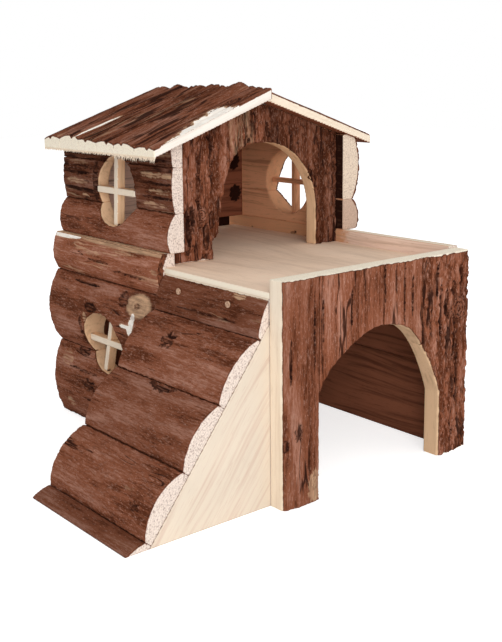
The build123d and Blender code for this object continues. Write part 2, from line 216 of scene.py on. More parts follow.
class WoodSettings(bpy.types.PropertyGroup):
    """Colours of the sawn wood, the end grain, the plywood and the nails."""

    pale: tint("Pale wood", "Colour of freshly sawn sides", 0.920, 0.790, 0.630)
    # Painted shade: the slabs' inner wood, painted dark for the shaded lower room
    inner: tint("Inner wood", "Colour of the slabs' flat inner sides", 0.265, 0.095, 0.051)
    # Painted light: the same inner wood painted much lighter, for the light in the upper room
    painted_lit_upper_inner: tint(
        "Upper inner wood", "Colour of the upper room's flat inner sides", 0.860, 0.440, 0.245,
    )
    # Painted shade: the pale sawn wood painted darker, for cut faces that get less light, such as the
    # doorway's and windows' cuts
    tan: tint("Tan wood", "Colour of cut faces that have darkened", 0.850, 0.570, 0.350)
    white: tint("White wood", "Colour of the planed rakes of the roof", 0.940, 0.870, 0.790)
    cream: tint(
        "Cream end", "Colour of the roof's and the front wall's sawn ends", 1.000, 0.900, 0.730,
    )
    board: tint("Ramp board", "Colour of the ramp's side boards", 0.790, 0.680, 0.550)
    kerb: tint("Kerb wood", "Colour of the right kerb's inner side", 0.740, 0.380, 0.205)
    streak: tint("Streak", "Colour of the grain's darker streaks", 0.480, 0.290, 0.165)
    end: tint("End grain", "Colour of the sawn ends", 0.830, 0.710, 0.620)
    warm_end: tint("Warm end grain", "Colour of the upper right wall's sawn ends", 0.800, 0.660, 0.520)
    rose_end: tint(
        "Rosy end grain", "Colour of the lowest upper right slab's sawn end", 0.590, 0.420, 0.320,
    )
    # Painted light: the colour of the pools of light painted on the flat inner sides
    patch: tint("Pale patch", "Colour of the paler areas of the flat inner sides", 0.950, 0.740, 0.620)
    # Painted shade, as the dark inner wood's streaks
    inner_streak: tint(
        "Inner streak", "Colour of the darker streaks in the inner wood", 0.070, 0.022, 0.012,
    )
    # Painted light, as the upper inner wood's streaks
    painted_lit_upper_streak: tint(
        "Upper inner streak", "Colour of the darker streaks in the upper inner wood", 0.360, 0.150, 0.080,
    )
    board_streak: tint(
        "Board streak", "Colour of the darker streaks in the ramp's side boards", 0.600, 0.390, 0.300,
    )
    pore: tint("Pore", "Colour of the pores and rings in the end grain", 0.300, 0.190, 0.160)
    plywood: tint("Plywood", "Colour of the plywood deck", 0.930, 0.710, 0.540)
    nail: tint("Nail", "Colour of the nails' heads, stained by the wood", 0.660, 0.440, 0.300)
    nail_stain: tint("Nail stain", "Colour of the stains on the nails' heads", 0.360, 0.200, 0.130)


class StageSettings(bpy.types.PropertyGroup):
    """The camera, the studio light and the floor."""

    azimuth: FloatProperty(
        name="Azimuth", description="Turn of the camera about the house, 0 facing its front",
        subtype="ANGLE", default=math.radians(-40.52),
    )
    elevation: FloatProperty(
        name="Elevation", description="Tilt of the camera above the level",
        subtype="ANGLE", default=math.radians(10.13),
    )
    roll: FloatProperty(
        name="Roll", description="Turn of the camera about its own axis",
        subtype="ANGLE", default=math.radians(-0.34),
    )
    key_power: FloatProperty(
        name="Key light", description="Power of the large soft light at the front left",
        unit="POWER", min=0.0, default=5.5,
    )
    front_power: FloatProperty(
        name="Front light", description="Power of the low light beside the camera, for the rooms",
        unit="POWER", min=0.0, default=5.6,
    )
    fill_power: FloatProperty(
        name="Fill light", description="Power of the wide soft light at the right",
        unit="POWER", min=0.0, default=3.5,
    )
    sky: FloatProperty(
        name="Surrounding light", description="Strength of the even white light from all round",
        min=0.0, max=2.0, default=0.60,
    )
    floor: tint("Floor", "Colour of the plain floor", 0.850, 0.840, 0.840)
    floor_glow: FloatProperty(
        name="Floor glow", description="White that is added to the floor as the camera sees it",
        min=0.0, max=1.0, default=0.68,
    )


# Helpers for node trees and pieces


class Net:
    """Adds nodes to a tree and wires them, so that a formula reads in one line."""

    def __init__(self, tree):
        self.tree = tree
        self.count = 0

    def node(self, kind, inputs=None, **settings):
        """A new node with its inputs fed or set."""
        node = self.tree.nodes.new(kind)
        node.location = (self.count % 12 * 190, -(self.count // 12) * 260)
        self.count += 1
        for name, value in settings.items():
            setattr(node, name, value)
        for name, value in (inputs or {}).items():
            self.feed(node.inputs[name], value)
        return node

    def output(self, kind, inputs=None, **settings):
        """The first output of a new node."""
        return self.node(kind, inputs, **settings).outputs[0]

    def feed(self, socket, value):
        """Wires a socket to another one, or sets it."""
        if isinstance(value, bpy.types.NodeSocket):
            self.tree.links.new(value, socket)
        elif value is not None:
            socket.default_value = value

    def operate(self, kind, operation, values, **settings):
        """A new node of a mathematical kind, with its inputs in order."""
        node = self.node(kind, operation=operation, **settings)
        for socket, value in zip(node.inputs, values):
            self.feed(socket, value)
        return node

    def math(self, operation, *values, clamp=False):
        """Numbers joined by one operation."""
        return self.operate("ShaderNodeMath", operation, values, use_clamp=clamp).outputs[0]

    def chain(self, operation, values):
        """The values joined one after the other by the same operation."""
        result = values[0]
        for value in values[1:]:
            result = self.math(operation, result, value)
        return result

    def plus(self, *values):
        """The sum of the values."""
        return self.chain("ADD", values)

    def minus(self, first, second):
        """The first value less the second."""
        return self.math("SUBTRACT", first, second)

    def times(self, *values):
        """The product of the values."""
        return self.chain("MULTIPLY", values)

    def over(self, first, second):
        """The first value divided by the second."""
        return self.math("DIVIDE", first, second)

    def highest(self, *values):
        """The largest of the values."""
        return self.chain("MAXIMUM", values)

    def rest(self, value):
        """What is left of one."""
        return self.math("SUBTRACT", 1.0, value)

    def vector(self, operation, *values):
        """Vectors joined by one operation."""
        return self.operate("ShaderNodeVectorMath", operation, values).outputs["Vector"]

    def length(self, vector):
        """How long a vector is."""
        return self.operate("ShaderNodeVectorMath", "LENGTH", (vector,)).outputs["Value"]

    def scaled(self, vector, factor):
        """A vector or colour times a number."""
        return self.output("ShaderNodeVectorMath", {"Vector": vector, "Scale": factor}, operation="SCALE")

    def combine(self, x, y, z):
        """A vector from its three parts."""
        return self.output("ShaderNodeCombineXYZ", {"X": x, "Y": y, "Z": z})

    def separate(self, vector):
        """The three parts of a vector."""
        return self.node("ShaderNodeSeparateXYZ", {"Vector": vector}).outputs

    def noise(self, vector, density=None, detail=2.0, roughness=0.5):
        """Smooth noise around one half, with a density per metre for each axis."""
        if density:
            vector = self.vector("MULTIPLY", vector, density)
        inputs = {"Vector": vector, "Scale": 1.0, "Detail": detail, "Roughness": roughness}
        return self.output("ShaderNodeTexNoise", inputs)

    def step(self, value, low, high, first=0.0, last=1.0):
        """A smooth step from first to last, as the value goes from low to high."""
        inputs = {"Value": value, "From Min": low, "From Max": high, "To Min": first, "To Max": last}
        return self.output("ShaderNodeMapRange", inputs, interpolation_type="SMOOTHSTEP")

    def fade(self, value, low, high, first=1.0, last=0.0):
        """A smooth step that goes down."""
        return self.step(value, low, high, first, last)

    def blend(self, share, first, second):
        """Mixes two colours by a share."""
        node = self.node("ShaderNodeMix", data_type="RGBA")
        for index, value in ((0, share), (6, first), (7, second)):
            self.feed(node.inputs[index], value)
        return node.outputs[2]


class GeometryNet(Net):
    """A geometry tree with named inputs that ends in one geometry."""

    def __init__(self, name, inputs):
        tree = bpy.data.node_groups.new(name, "GeometryNodeTree")
        super().__init__(tree)
        tree.interface.new_socket("Geometry", in_out="INPUT", socket_type="NodeSocketGeometry")
        for label, (kind, default) in inputs.items():
            socket = tree.interface.new_socket(label, in_out="INPUT", socket_type="NodeSocket" + kind)
            if default is not None:
                socket.default_value = default
        tree.interface.new_socket("Geometry", in_out="OUTPUT", socket_type="NodeSocketGeometry")
        self.input = self.node("NodeGroupInput").outputs

    def named(self, name, kind="FLOAT"):
        """An attribute of the mesh."""
        return self.output("GeometryNodeInputNamedAttribute", {"Name": name}, data_type=kind)

    def store(self, geometry, name, value):
        """The geometry with a number stored on each point."""
        inputs = {"Geometry": geometry, "Name": name, "Value": value}
        return self.output("GeometryNodeStoreNamedAttribute", inputs, data_type="FLOAT", domain="POINT")

    def shifted(self, geometry, offset=None, position=None):
        """The geometry with its points moved by an offset or to a position."""
        inputs = {"Geometry": geometry, "Offset": offset, "Position": position}
        return self.output("GeometryNodeSetPosition", inputs)

    def painted(self, geometry, look, chosen=True):
        """The geometry with a material on its chosen faces."""
        inputs = {"Geometry": geometry, "Selection": chosen, "Material": look}
        return self.output("GeometryNodeSetMaterial", inputs)

    def real(self, geometry):
        """The geometry with its copies made real."""
        return self.output("GeometryNodeRealizeInstances", {"Geometry": geometry})

    def random(self, seed, low, high):
        """A random vector for each point."""
        node = self.node("FunctionNodeRandomValue", data_type="FLOAT_VECTOR")
        for socket, value in zip(node.inputs, (low, high)):
            socket.default_value = value
        self.feed(node.inputs["Seed"], seed)
        return node.outputs[0]

    def end(self, geometry):
        """Ends the tree in the geometry."""
        self.node("NodeGroupOutput", {0: geometry})
        return self.tree


def identifiers(tree):
    """Each input's identifier by its name."""
    return {
        item.name: item.identifier
        for item in tree.interface.items_tree
        if item.item_type == "SOCKET" and item.in_out == "INPUT"
    }


def add_nodes_modifier(piece, tree, **values):
    """Puts a geometry tree on a piece, with its inputs set before anything is evaluated."""
    modifier = piece.modifiers.new(tree.name, "NODES")
    modifier.node_group = tree
    keys = identifiers(tree)
    for name, value in values.items():
        modifier[keys[name.replace("_", " ").capitalize()]] = value


def made_plain(piece):
    """Replaces a piece's mesh by what its modifiers make of it, and removes them."""
    bpy.context.view_layer.update()
    evaluated = piece.evaluated_get(bpy.context.evaluated_depsgraph_get())
    mesh = bpy.data.meshes.new_from_object(evaluated)
    piece.modifiers.clear()
    old = piece.data
    piece.data = mesh
    mesh.name = piece.name
    bpy.data.meshes.remove(old)


def new_piece(name, mesh):
    """A new object for a mesh, in the scene."""
    piece = bpy.data.objects.new(name, mesh)
    bpy.context.scene.collection.objects.link(piece)
    return piece


# Materials


def principled(net, colour, roughness, height, bump_strength, bump_distance):
    """Ends a shader tree in one matt surface with a bump."""
    bump = {"Strength": bump_strength, "Distance": bump_distance, "Height": height}
    shader = net.output("ShaderNodeBsdfPrincipled", {
        "Base Color": colour, "Roughness": roughness, "Specular IOR Level": 0.02,
        "Normal": net.output("ShaderNodeBump", bump),
    })
    net.node("ShaderNodeOutputMaterial", {"Surface": shader})


def new_material(name):
    """An empty material and the helper for its nodes."""
    made = bpy.data.materials.new(name)
    made.use_nodes = True
    made.node_tree.nodes.clear()
    return made, Net(made.node_tree)


def attribute(net, name, output="Fac"):
    """An attribute of the mesh, as a shader reads it."""
    return net.node("ShaderNodeAttribute", attribute_name=name).outputs[output]


def rgba(colour):
    """A colour that hides what is behind it."""
    return (*colour, 1.0)


def moved_by_variant(net, point, variant):
    """The point somewhere else for each variant, so that no two slabs share a pattern."""
    shift = net.combine(net.times(variant, 0.37), net.times(variant, 0.71), variant)
    return net.vector("ADD", point, shift)


def grain_point(net):
    """The piece's own coordinates along, across and out of the grain, moved by its variant."""
    variant = attribute(net, "variant")
    return moved_by_variant(net, attribute(net, "grain", "Vector"), variant)


def bark_surface(net, point):
    """The bark's colour: fibres, blotches, thin flakes, and dark cracks from the relief."""
    colours = bpy.context.scene.bark_house_bark
    tone = attribute(net, "tone")
    fibres = net.noise(point, (55, 640, 640), detail=4, roughness=0.6)
    threads = net.noise(point, (260, 1500, 1500), roughness=0.6)
    bands = net.noise(point, (13, 75, 75), detail=3, roughness=0.55)

    # Fibres, bands and the relief set the level between the shade, the body and the flakes
    level = net.plus(
        net.step(fibres, 0.25, 0.75, -0.30, 0.30),
        net.step(threads, 0.3, 0.7, -0.16, 0.16),
        net.step(bands, 0.28, 0.72, -0.02, 0.98),
        # Low relief is darker: partly the bark's own furrows, partly painted shade in them
        net.step(attribute(net, "relief"), 0.2, 0.95, -0.50, 0.04),
        # Bark that turns away from the slab's outward side is darker: partly dirt, partly painted shade
        # where slabs meet
        net.step(attribute(net, "facing"), 0.45, 0.85, -0.40, 0.0),
    )
    low = net.blend(net.step(level, -0.1, 0.5), rgba(colours.shade), rgba(colours.body))
    body = net.blend(net.step(level, 0.5, 1.25, 0.0, 0.75), low, rgba(colours.flake))

    # Thin flakes lie on some areas, with light specks
    flake_noise = net.noise(point, (260, 900, 900), detail=3, roughness=0.7)
    flake_area = net.noise(point, (35, 70, 70))
    flake_limit = net.minus(0.66, net.times(attribute(net, "flakes"), 0.07))
    flakes = net.step(net.plus(flake_noise, net.times(flake_area, 0.16)), flake_limit, 0.80)
    flaked = net.blend(net.times(flakes, 0.7), body, rgba(colours.flake))
    specks = net.step(net.noise(point, (420, 1500, 1500)), 0.64, 0.74, 0.0, 0.5)
    flaked = net.blend(specks, flaked, net.scaled(colours.flake, 1.5))

    # Short nicks, long dark lines and bare veins follow the grain
    nick_noise = net.noise(point, (110, 700, 700), detail=3, roughness=0.7)
    nicks = net.step(nick_noise, 0.24, 0.33, 0.7, 0.0)
    share = attribute(net, "lines")
    bend = net.noise(point, (70, 260, 260))
    line_point = net.vector("ADD", point, net.combine(0.0, net.times(bend, 2.5 * MM), 0.0))
    line_noise = net.noise(line_point, (11, 115, 115))
    line_area = net.noise(point, (20, 50, 50))
    line_width = net.plus(0.012, net.times(share, 0.035))
    line_gap = net.math("ABSOLUTE", net.minus(line_noise, 0.5))
    lines = net.step(line_gap, net.times(line_width, 0.3), line_width, 0.9, 0.0)
    line_limit = net.minus(0.62, net.times(share, 0.18))
    lines = net.times(lines, net.step(line_area, line_limit, net.plus(line_limit, 0.08)))
    vein_noise = net.noise(line_point, (9, 150, 150))
    vein_gap = net.math("ABSOLUTE", net.minus(vein_noise, 0.56))
    vein_area = net.noise(point, (14, 60, 60))
    veins = net.times(net.step(vein_gap, 0.008, 0.03, 0.75, 0.0), attribute(net, "veins"))
    veins = net.times(veins, net.step(vein_area, 0.50, 0.58))
    flaked = net.blend(veins, flaked, rgba(colours.bare))

    # Cracks and marks are dark, and bare wood shows its own colour
    cracks = net.times(attribute(net, "crack"), 0.95)
    dark = net.highest(cracks, nicks, lines, attribute(net, "dark"), attribute(net, "ring"))
    # The dark marks include a painted shadow beside a window's rim
    cracks_and_painted_shade = net.blend(dark, net.scaled(flaked, tone), rgba(colours.groove))
    fresh = net.step(attribute(net, "bare"), 0.8, 0.98)
    wood_tone = net.step(fibres, 0.25, 0.75, net.plus(0.6, net.times(fresh, 0.4)), 1.25)
    wood_tone = net.times(wood_tone, net.step(attribute(net, "ring"), 0.0, 1.0, 1.0, 0.7))
    white = bpy.context.scene.bark_house_wood.white
    wood = net.scaled(net.blend(fresh, rgba(colours.bare), rgba(white)), wood_tone)
    shown = net.times(attribute(net, "bare"), net.rest(attribute(net, "dark")))
    height = net.plus(net.times(fibres, 1.4), net.plus(threads, flakes))
    return net.blend(shown, cracks_and_painted_shade, wood), height


def bark_material():
    """Dark red-brown bark: darker in its grooves and cracks, flaked lighter, bare in patches."""
    made, net = new_material("bark")
    colour, height = bark_surface(net, grain_point(net))
    principled(net, colour, 0.9, height, 0.7, 0.4 * MM)
    return made


def under_bark(net, colour):
    """Turns a cut face dark where it meets the bark, so that the bark shows as a thin layer, and paints
    shade on sawn sides in a joint with a slab beside.
    """
    colours = bpy.context.scene.bark_house_bark
    point = grain_point(net)
    ragged = net.noise(point, (420, 420, 420), detail=3, roughness=0.7)
    thickness = net.times(attribute(net, "layer"), net.plus(ragged, 0.5))
    beyond = net.minus(attribute(net, "bark_depth"), thickness)
    layer = net.times(net.fade(beyond, -0.3 * MM, 0.3 * MM), attribute(net, "barked"))
    # The seam share is painted shade in the joint with the slab beside
    layer = net.highest(layer, attribute(net, "seam"))
    shade = net.step(ragged, 0.35, 0.65, 0.25, 0.9)
    return net.blend(layer, colour, net.scaled(colours.body, shade))


def sawn_material(name, look):
    """Long grain of sawn wood: fine streaks along the board, with faint saw marks across it."""
    colours = bpy.context.scene.bark_house_wood
    base, streak = rgba(getattr(colours, look.colour)), rgba(getattr(colours, look.streak))
    made, net = new_material(name)
    point = grain_point(net)
    wander = net.noise(point, (9, 30, 30), detail=1)
    bent = net.vector("ADD", point, net.combine(0.0, net.times(wander, 14 * MM), 0.0))
    streaks = net.noise(bent, (8, 230, 230), detail=4, roughness=0.6)
    pores = net.noise(bent, (90, 1100, 1100), roughness=0.6)
    clouds = net.noise(point, (14, 40, 40), detail=3)
    marks = net.noise(point, (1500, 60, 60), detail=1)
    # The bare share on a flat inner side paints the pale patches, which are painted light
    patched = net.blend(attribute(net, "bare"), base, rgba(colours.patch))
    streaked = net.blend(net.step(streaks, 0.46, 0.70, 0.0, look.streaks), patched, streak)
    dotted = net.blend(net.step(pores, 0.58, 0.74, 0.0, look.streaks * 0.8), streaked, streak)
    tone = net.plus(net.times(clouds, look.shade), 1.0 - look.shade * 0.5)
    ringed = net.scaled(dotted, net.times(tone, net.step(attribute(net, "ring"), 0.0, 1.0, 1.0, 0.5)))
    # The dark share paints knots and holes, and painted shade where a shade mark lies
    knots_and_painted_shade = net.blend(attribute(net, "dark"), ringed, rgba(bpy.context.scene.bark_house_bark.groove))
    height = net.plus(net.times(streaks, 0.6), net.times(marks, 0.5))
    principled(net, under_bark(net, knots_and_painted_shade), 0.72, height, 0.35, 0.2 * MM)
    return made


def end_grain_material(name, look):
    """Sawn ends: growth rings about a heart below the slab, crossed by fine pores."""
    colours = bpy.context.scene.bark_house_wood
    base, pore = rgba(getattr(colours, look.colour)), rgba(colours.pore)
    made, net = new_material(name)
    point = attribute(net, "grain", "Vector")
    _, across, out = net.separate(point)
    wander = net.noise(point, (60, 90, 90))
    radius = net.length(net.combine(0.0, across, net.plus(out, HEART_DEPTH)))
    rings = net.plus(net.over(radius, RING_WIDTH), net.times(wander, 1.6))
    ring_line = net.math("PINGPONG", rings, 0.5)
    pores = net.noise(grain_point(net), (800, 800, 800), detail=4, roughness=0.7)
    specks = net.noise(grain_point(net), (1300, 1300, 1300), detail=1)
    ringed = net.blend(net.step(ring_line, 0.30, 0.5, 0.0, look.pores * 0.3), base, pore)
    dotted = net.blend(net.step(pores, 0.48, 0.64, 0.0, look.pores), ringed, pore)
    tone = net.plus(net.times(specks, 0.4), 0.82)
    principled(net, under_bark(net, net.scaled(dotted, tone)), 0.8, pores, 0.5, 0.25 * MM)
    return made


def plywood_material():
    """A smooth pinkish-tan veneer with soft figure, and pale layers on its edges."""
    colours = bpy.context.scene.bark_house_wood
    ply, streak = rgba(colours.plywood), rgba(colours.streak)
    made, net = new_material("deck_veneer")
    point = net.node("ShaderNodeTexCoord").outputs["Object"]
    wander = net.noise(point, (14, 6, 6))
    bent = net.vector("ADD", point, net.combine(net.times(wander, 60 * MM), 0.0, 0.0))
    figure = net.noise(bent, (95, 8, 60), detail=4, roughness=0.6)
    pores = net.noise(point, (1300, 90, 900), roughness=0.6)
    clouds = net.noise(point, (22, 14, 14), detail=3)
    figured = net.blend(net.step(figure, 0.40, 0.75, 0.0, 0.3), ply, streak)
    dotted = net.blend(net.step(pores, 0.56, 0.72, 0.0, 0.3), figured, streak)
    veneer = net.scaled(dotted, net.plus(net.times(clouds, 0.4), 0.82))
    normal = net.separate(net.node("ShaderNodeNewGeometry").outputs["True Normal"])
    sides = net.fade(net.math("ABSOLUTE", normal[2]), 0.3, 0.7)
    height = net.times(net.separate(point)[2], 1 / PLY_THICKNESS)
    layers = net.step(net.math("PINGPONG", height, 1.0), 0.4, 0.6, 0.0, 0.15)
    edge = net.blend(layers, rgba(colours.cream), ply)
    principled(net, net.blend(sides, veneer, edge), 0.66, pores, 0.25, 0.15 * MM)
    return made


def steel_material():
    """The steel of a wire nail, stained by the wood."""
    colours = bpy.context.scene.bark_house_wood
    made, net = new_material("nail_face")
    point = net.node("ShaderNodeTexCoord").outputs["Object"]
    stains = net.noise(point, (900, 900, 900), detail=3)
    colour = net.blend(net.step(stains, 0.35, 0.7), rgba(colours.nail), rgba(colours.nail_stain))
    principled(net, colour, 0.5, stains, 0.2, 0.1 * MM)
    return made


# Looks of the sawn wood: its colour setting, the strength of its streaks and clouds, and their colour
Sawn = namedtuple("Sawn", "colour streaks shade streak", defaults=("streak",))
SAWN_LOOKS = {
    "sawn_pale": Sawn("pale", streaks=0.22, shade=0.12),
    # The tan copy of the pale wood is painted shade
    "sawn_shaded_pale": Sawn("tan", streaks=0.45, shade=0.3),
    "sawn_white": Sawn("white", streaks=0.22, shade=0.12),
    # The inner wood is painted shade, and the upper inner wood below it painted light
    "sawn_inner": Sawn("inner", streaks=0.7, shade=0.6, streak="inner_streak"),
    "sawn_upper_painted_lit": Sawn("painted_lit_upper_inner", streaks=0.7, shade=0.5, streak="painted_lit_upper_streak"),
    "sawn_board": Sawn("board", streaks=0.45, shade=0.25, streak="board_streak"),
    "sawn_kerb": Sawn("kerb", streaks=0.5, shade=0.3),
}

# Looks of the sawn ends: their colour setting and the strength of their pores and rings
End = namedtuple("End", "colour pores")
END_LOOKS = {
    "end_grain": End("end", pores=0.65),
    "end_warm": End("warm_end", pores=0.5),
    "end_rose": End("rose_end", pores=0.4),
    "end_cream": End("cream", pores=0.15),
}


def material(name):
    """The named material, made the first time that a piece asks for it."""
    found = bpy.data.materials.get(name)
    if found:
        return found
    if name in SAWN_LOOKS:
        return sawn_material(name, SAWN_LOOKS[name])
    if name in END_LOOKS:
        return end_grain_material(name, END_LOOKS[name])
    makers = {"bark": bark_material, "deck_veneer": plywood_material, "nail_face": steel_material}
    return makers[name]()


# The slab pieces: a fine mesh on the exact shape, with relief cut into its bark


def relief_tree():
    """Cuts grooves, cracks, plates and fibres into the bark side of a fine slab mesh."""
    found = bpy.data.node_groups.get("Bark relief")
    if found:
        return found
    net = GeometryNet("Bark relief", {
        "Spacing": ("Float", 5 * MM), "Stretch": ("Float", 6.0),
        "Groove depth": ("Float", 1 * MM), "Crack depth": ("Float", 1 * MM),
        "Plate size": ("Float", 8 * MM), "Plate depth": ("Float", 0.5 * MM),
        "Fibre depth": ("Float", 0.3 * MM), "Swell depth": ("Float", 1 * MM),
        "Torn edge": ("Float", 1.2 * MM), "Floor": ("Float", 0.0),
        "Bark": ("Material", None), "Inner": ("Material", None),
        "Sawn": ("Material", None), "End": ("Material", None),
    })
    given = net.input
    point = moved_by_variant(net, net.named("grain", "FLOAT_VECTOR"), net.named("variant"))
    along, across, out = net.separate(point)
    wander = net.minus(net.noise(net.scaled(point, 22.0)), 0.5)
    across = net.plus(across, net.times(wander, net.times(given["Spacing"], 2.0)))

    # Grooves run along the grain, and cracks follow the middle of a noise in some areas
    length = net.times(given["Spacing"], given["Stretch"])
    u = net.over(along, length)
    v = net.over(across, given["Spacing"])
    w = net.over(out, given["Spacing"])
    groove = net.step(net.noise(net.combine(u, v, w), detail=3, roughness=0.6), 0.30, 0.62)

    crack_point = net.combine(net.times(u, 0.8), net.times(v, 0.8), net.plus(w, 7.0))
    crack_noise = net.noise(crack_point, roughness=0.6)
    crack_line = net.math("ABSOLUTE", net.minus(crack_noise, 0.5))
    crack_area = net.step(net.noise(point, (22, 50, 50), detail=1), 0.50, 0.60)
    crack = net.times(net.fade(crack_line, 0.002, 0.022), crack_area)

    # Plates are long cells with low edges
    plate_point = net.combine(
        net.over(along, net.times(given["Plate size"], 2.2)),
        net.over(across, given["Plate size"]),
        net.over(out, given["Plate size"]),
    )
    cells = {"Vector": plate_point, "Scale": 1.0}
    plates = net.node("ShaderNodeTexVoronoi", cells, feature="DISTANCE_TO_EDGE")
    plate = net.step(plates.outputs["Distance"], 0.02, 0.14)

    fibre = net.noise(point, (90, 560, 560), roughness=0.6)
    grit = net.noise(point, (300, 480, 480), roughness=0.7)
    swell = net.noise(point, (16, 38, 38))

    # Everything cuts inwards, and less where a mark calms the bark
    groove_drop = net.times(given["Groove depth"], net.minus(groove, 1.0))
    plate_drop = net.times(given["Plate depth"], net.minus(plate, 1.0))
    height = net.plus(
        groove_drop,
        net.times(given["Crack depth"], net.times(crack, -1.0)),
        plate_drop,
        net.times(given["Fibre depth"], net.minus(fibre, 0.6)),
        net.times(given["Fibre depth"], net.minus(grit, 0.6)),
        net.times(given["Swell depth"], net.minus(swell, 0.62)),
    )
    rough = net.rest(net.times(net.named("calm"), 0.85))
    height = net.times(net.math("MINIMUM", height, 0.0), rough)
    # Deeper grooves and plates darken the colour: partly the bark's own furrows, partly painted shade in
    # them
    wear_and_painted_light = net.times(net.plus(groove_drop, plate_drop), rough)
    lightness = net.math("ADD", 1.0, net.over(wear_and_painted_light, FULL_WEAR_AND_SHADE), clamp=True)

    # The sawn rim beside the bark is torn a little
    on_bark = net.output("GeometryNodeBlurAttribute", {"Value": net.named("bark"), "Iterations": 1})
    near_bark = net.fade(net.named("bark_depth"), 0.5 * MM, 2.4 * MM)
    on_rim = net.times(net.rest(on_bark), net.times(near_bark, net.named("barked")))
    torn = net.step(net.noise(net.scaled(point, 210.0), detail=3, roughness=0.6), 0.35, 0.7, 0.0, -1.0)
    torn = net.times(torn, net.times(on_rim, given["Torn edge"]))
    move = net.plus(net.times(height, on_bark), torn)
    offset = net.scaled(net.output("GeometryNodeInputNormal"), move)
    mesh = net.store(given["Geometry"], "relief", lightness)
    mesh = net.store(mesh, "crack", net.times(crack, net.step(given["Crack depth"], 0.0, 1.5 * MM)))
    moved = net.shifted(mesh, offset=offset)
    x, y, z = net.separate(net.output("GeometryNodeInputPosition"))
    moved = net.shifted(moved, position=net.combine(x, y, net.highest(z, given["Floor"])))

    painted = net.painted(moved, given["Sawn"])
    for label in ("Inner", "End", "Bark"):
        chosen = net.math("GREATER_THAN", net.named(label.lower()), 0.4)
        painted = net.painted(painted, given[label], chosen)
    return net.end(net.real(painted))


def mark_tree():
    """Adds one mark to a slab, such as a ringed knot, a hollow, a crack, or a patch without bark."""
    found = bpy.data.node_groups.get("Bark mark")
    if found:
        return found
    net = GeometryNet("Bark mark", {
        "Centre": ("Vector", None), "Along": ("Float", 5 * MM), "Across": ("Float", 5 * MM),
        "Height": ("Float", 0.0), "Bare": ("Float", 0.0), "Dark": ("Float", 0.0),
        "Rings": ("Float", 0.0), "Points": ("Float", 0.0), "Ragged": ("Float", 0.8),
        "Wander": ("Float", 0.0), "Inner side": ("Float", 0.0),
    })
    given = net.input
    away = net.vector("SUBTRACT", net.named("grain", "FLOAT_VECTOR"), given["Centre"])
    along, across, _ = net.separate(away)
    wobble = net.noise(away, (260, 420, 420), detail=3, roughness=0.65)
    strands = net.noise(away, (60, 700, 700), roughness=0.6)
    sway = net.minus(net.noise(net.combine(net.times(along, 110.0), 0.0, 0.0), detail=3), 0.5)
    across = net.plus(across, net.times(sway, net.times(given["Wander"], 2.0)))

    # The mark's radius is one at its outline, which the noise and the rays bend
    x = net.over(along, given["Along"])
    y = net.over(across, given["Across"])
    radius = net.math("SQRT", net.plus(net.times(x, x), net.times(y, y)))
    angle = net.plus(net.math("ARCTAN2", y, x), net.times(wobble, 3.0))
    rays = net.math("SINE", net.times(angle, 5.0))
    uneven = net.times(net.minus(wobble, 0.5), given["Ragged"])
    bend = net.plus(1.0, uneven, net.times(rays, given["Points"]))
    ring_radius = net.plus(radius, net.times(net.minus(wobble, 0.5), 0.7))
    radius = net.over(radius, net.highest(bend, 0.25))
    side = net.output("GeometryNodeSwitch", {
        "Switch": net.math("GREATER_THAN", given["Inner side"], 0.5),
        "False": net.named("bark"), "True": net.named("inner"),
    }, input_type="FLOAT")
    inside = net.times(net.fade(radius, 0.82, 1.0), side)

    # Rings, a dark rim and pith, and a dark or bare middle
    ring = net.step(net.math("PINGPONG", net.times(ring_radius, 3.0), 0.5), 0.25, 0.42)
    ring = net.times(ring, inside, given["Rings"])
    rim = net.times(net.step(radius, 0.75, 0.95), net.fade(radius, 1.0, 1.25))
    rim = net.times(rim, side, given["Dark"])
    pith = net.times(net.fade(radius, 0.12, 0.3), side)
    pith = net.times(pith, net.times(given["Rings"], given["Dark"]))
    depth = net.times(given["Dark"], net.step(strands, 0.35, 0.6, 1.1, 0.55))
    solid_dark = net.times(inside, net.step(depth, 0.35, 0.95))
    dark = net.highest(rim, pith, solid_dark, net.named("dark"))
    mesh = net.store(given["Geometry"], "dark", dark)
    mesh = net.store(mesh, "ring", net.highest(net.named("ring"), ring))
    stripped = net.times(net.fade(radius, 0.82, 1.0), net.step(given["Bare"], 0.9, 1.0))
    far_from_bark = net.plus(net.named("bark_depth"), net.times(stripped, 20 * MM))
    mesh = net.store(mesh, "bark_depth", far_from_bark)
    # Bare shows worn-off bark for chips, and painted light for the pale patches on flat inner sides
    wear_and_painted_light = net.highest(net.step(strands, 0.42, 0.56), net.step(given["Bare"], 0.75, 0.8))
    patch = net.times(inside, given["Bare"], wear_and_painted_light)
    mesh = net.store(mesh, "bare", net.highest(net.named("bare"), patch))
    calm = net.times(inside, net.highest(given["Rings"], given["Bare"]))
    mesh = net.store(mesh, "calm", net.highest(net.named("calm"), calm))
    drop = net.minus(net.times(inside, given["Height"]), net.times(ring, 0.5 * MM))
    offset = net.scaled(net.output("GeometryNodeInputNormal"), drop)
    moved = net.real(net.shifted(mesh, offset=offset))
    return net.end(net.painted(moved, material("bark")))


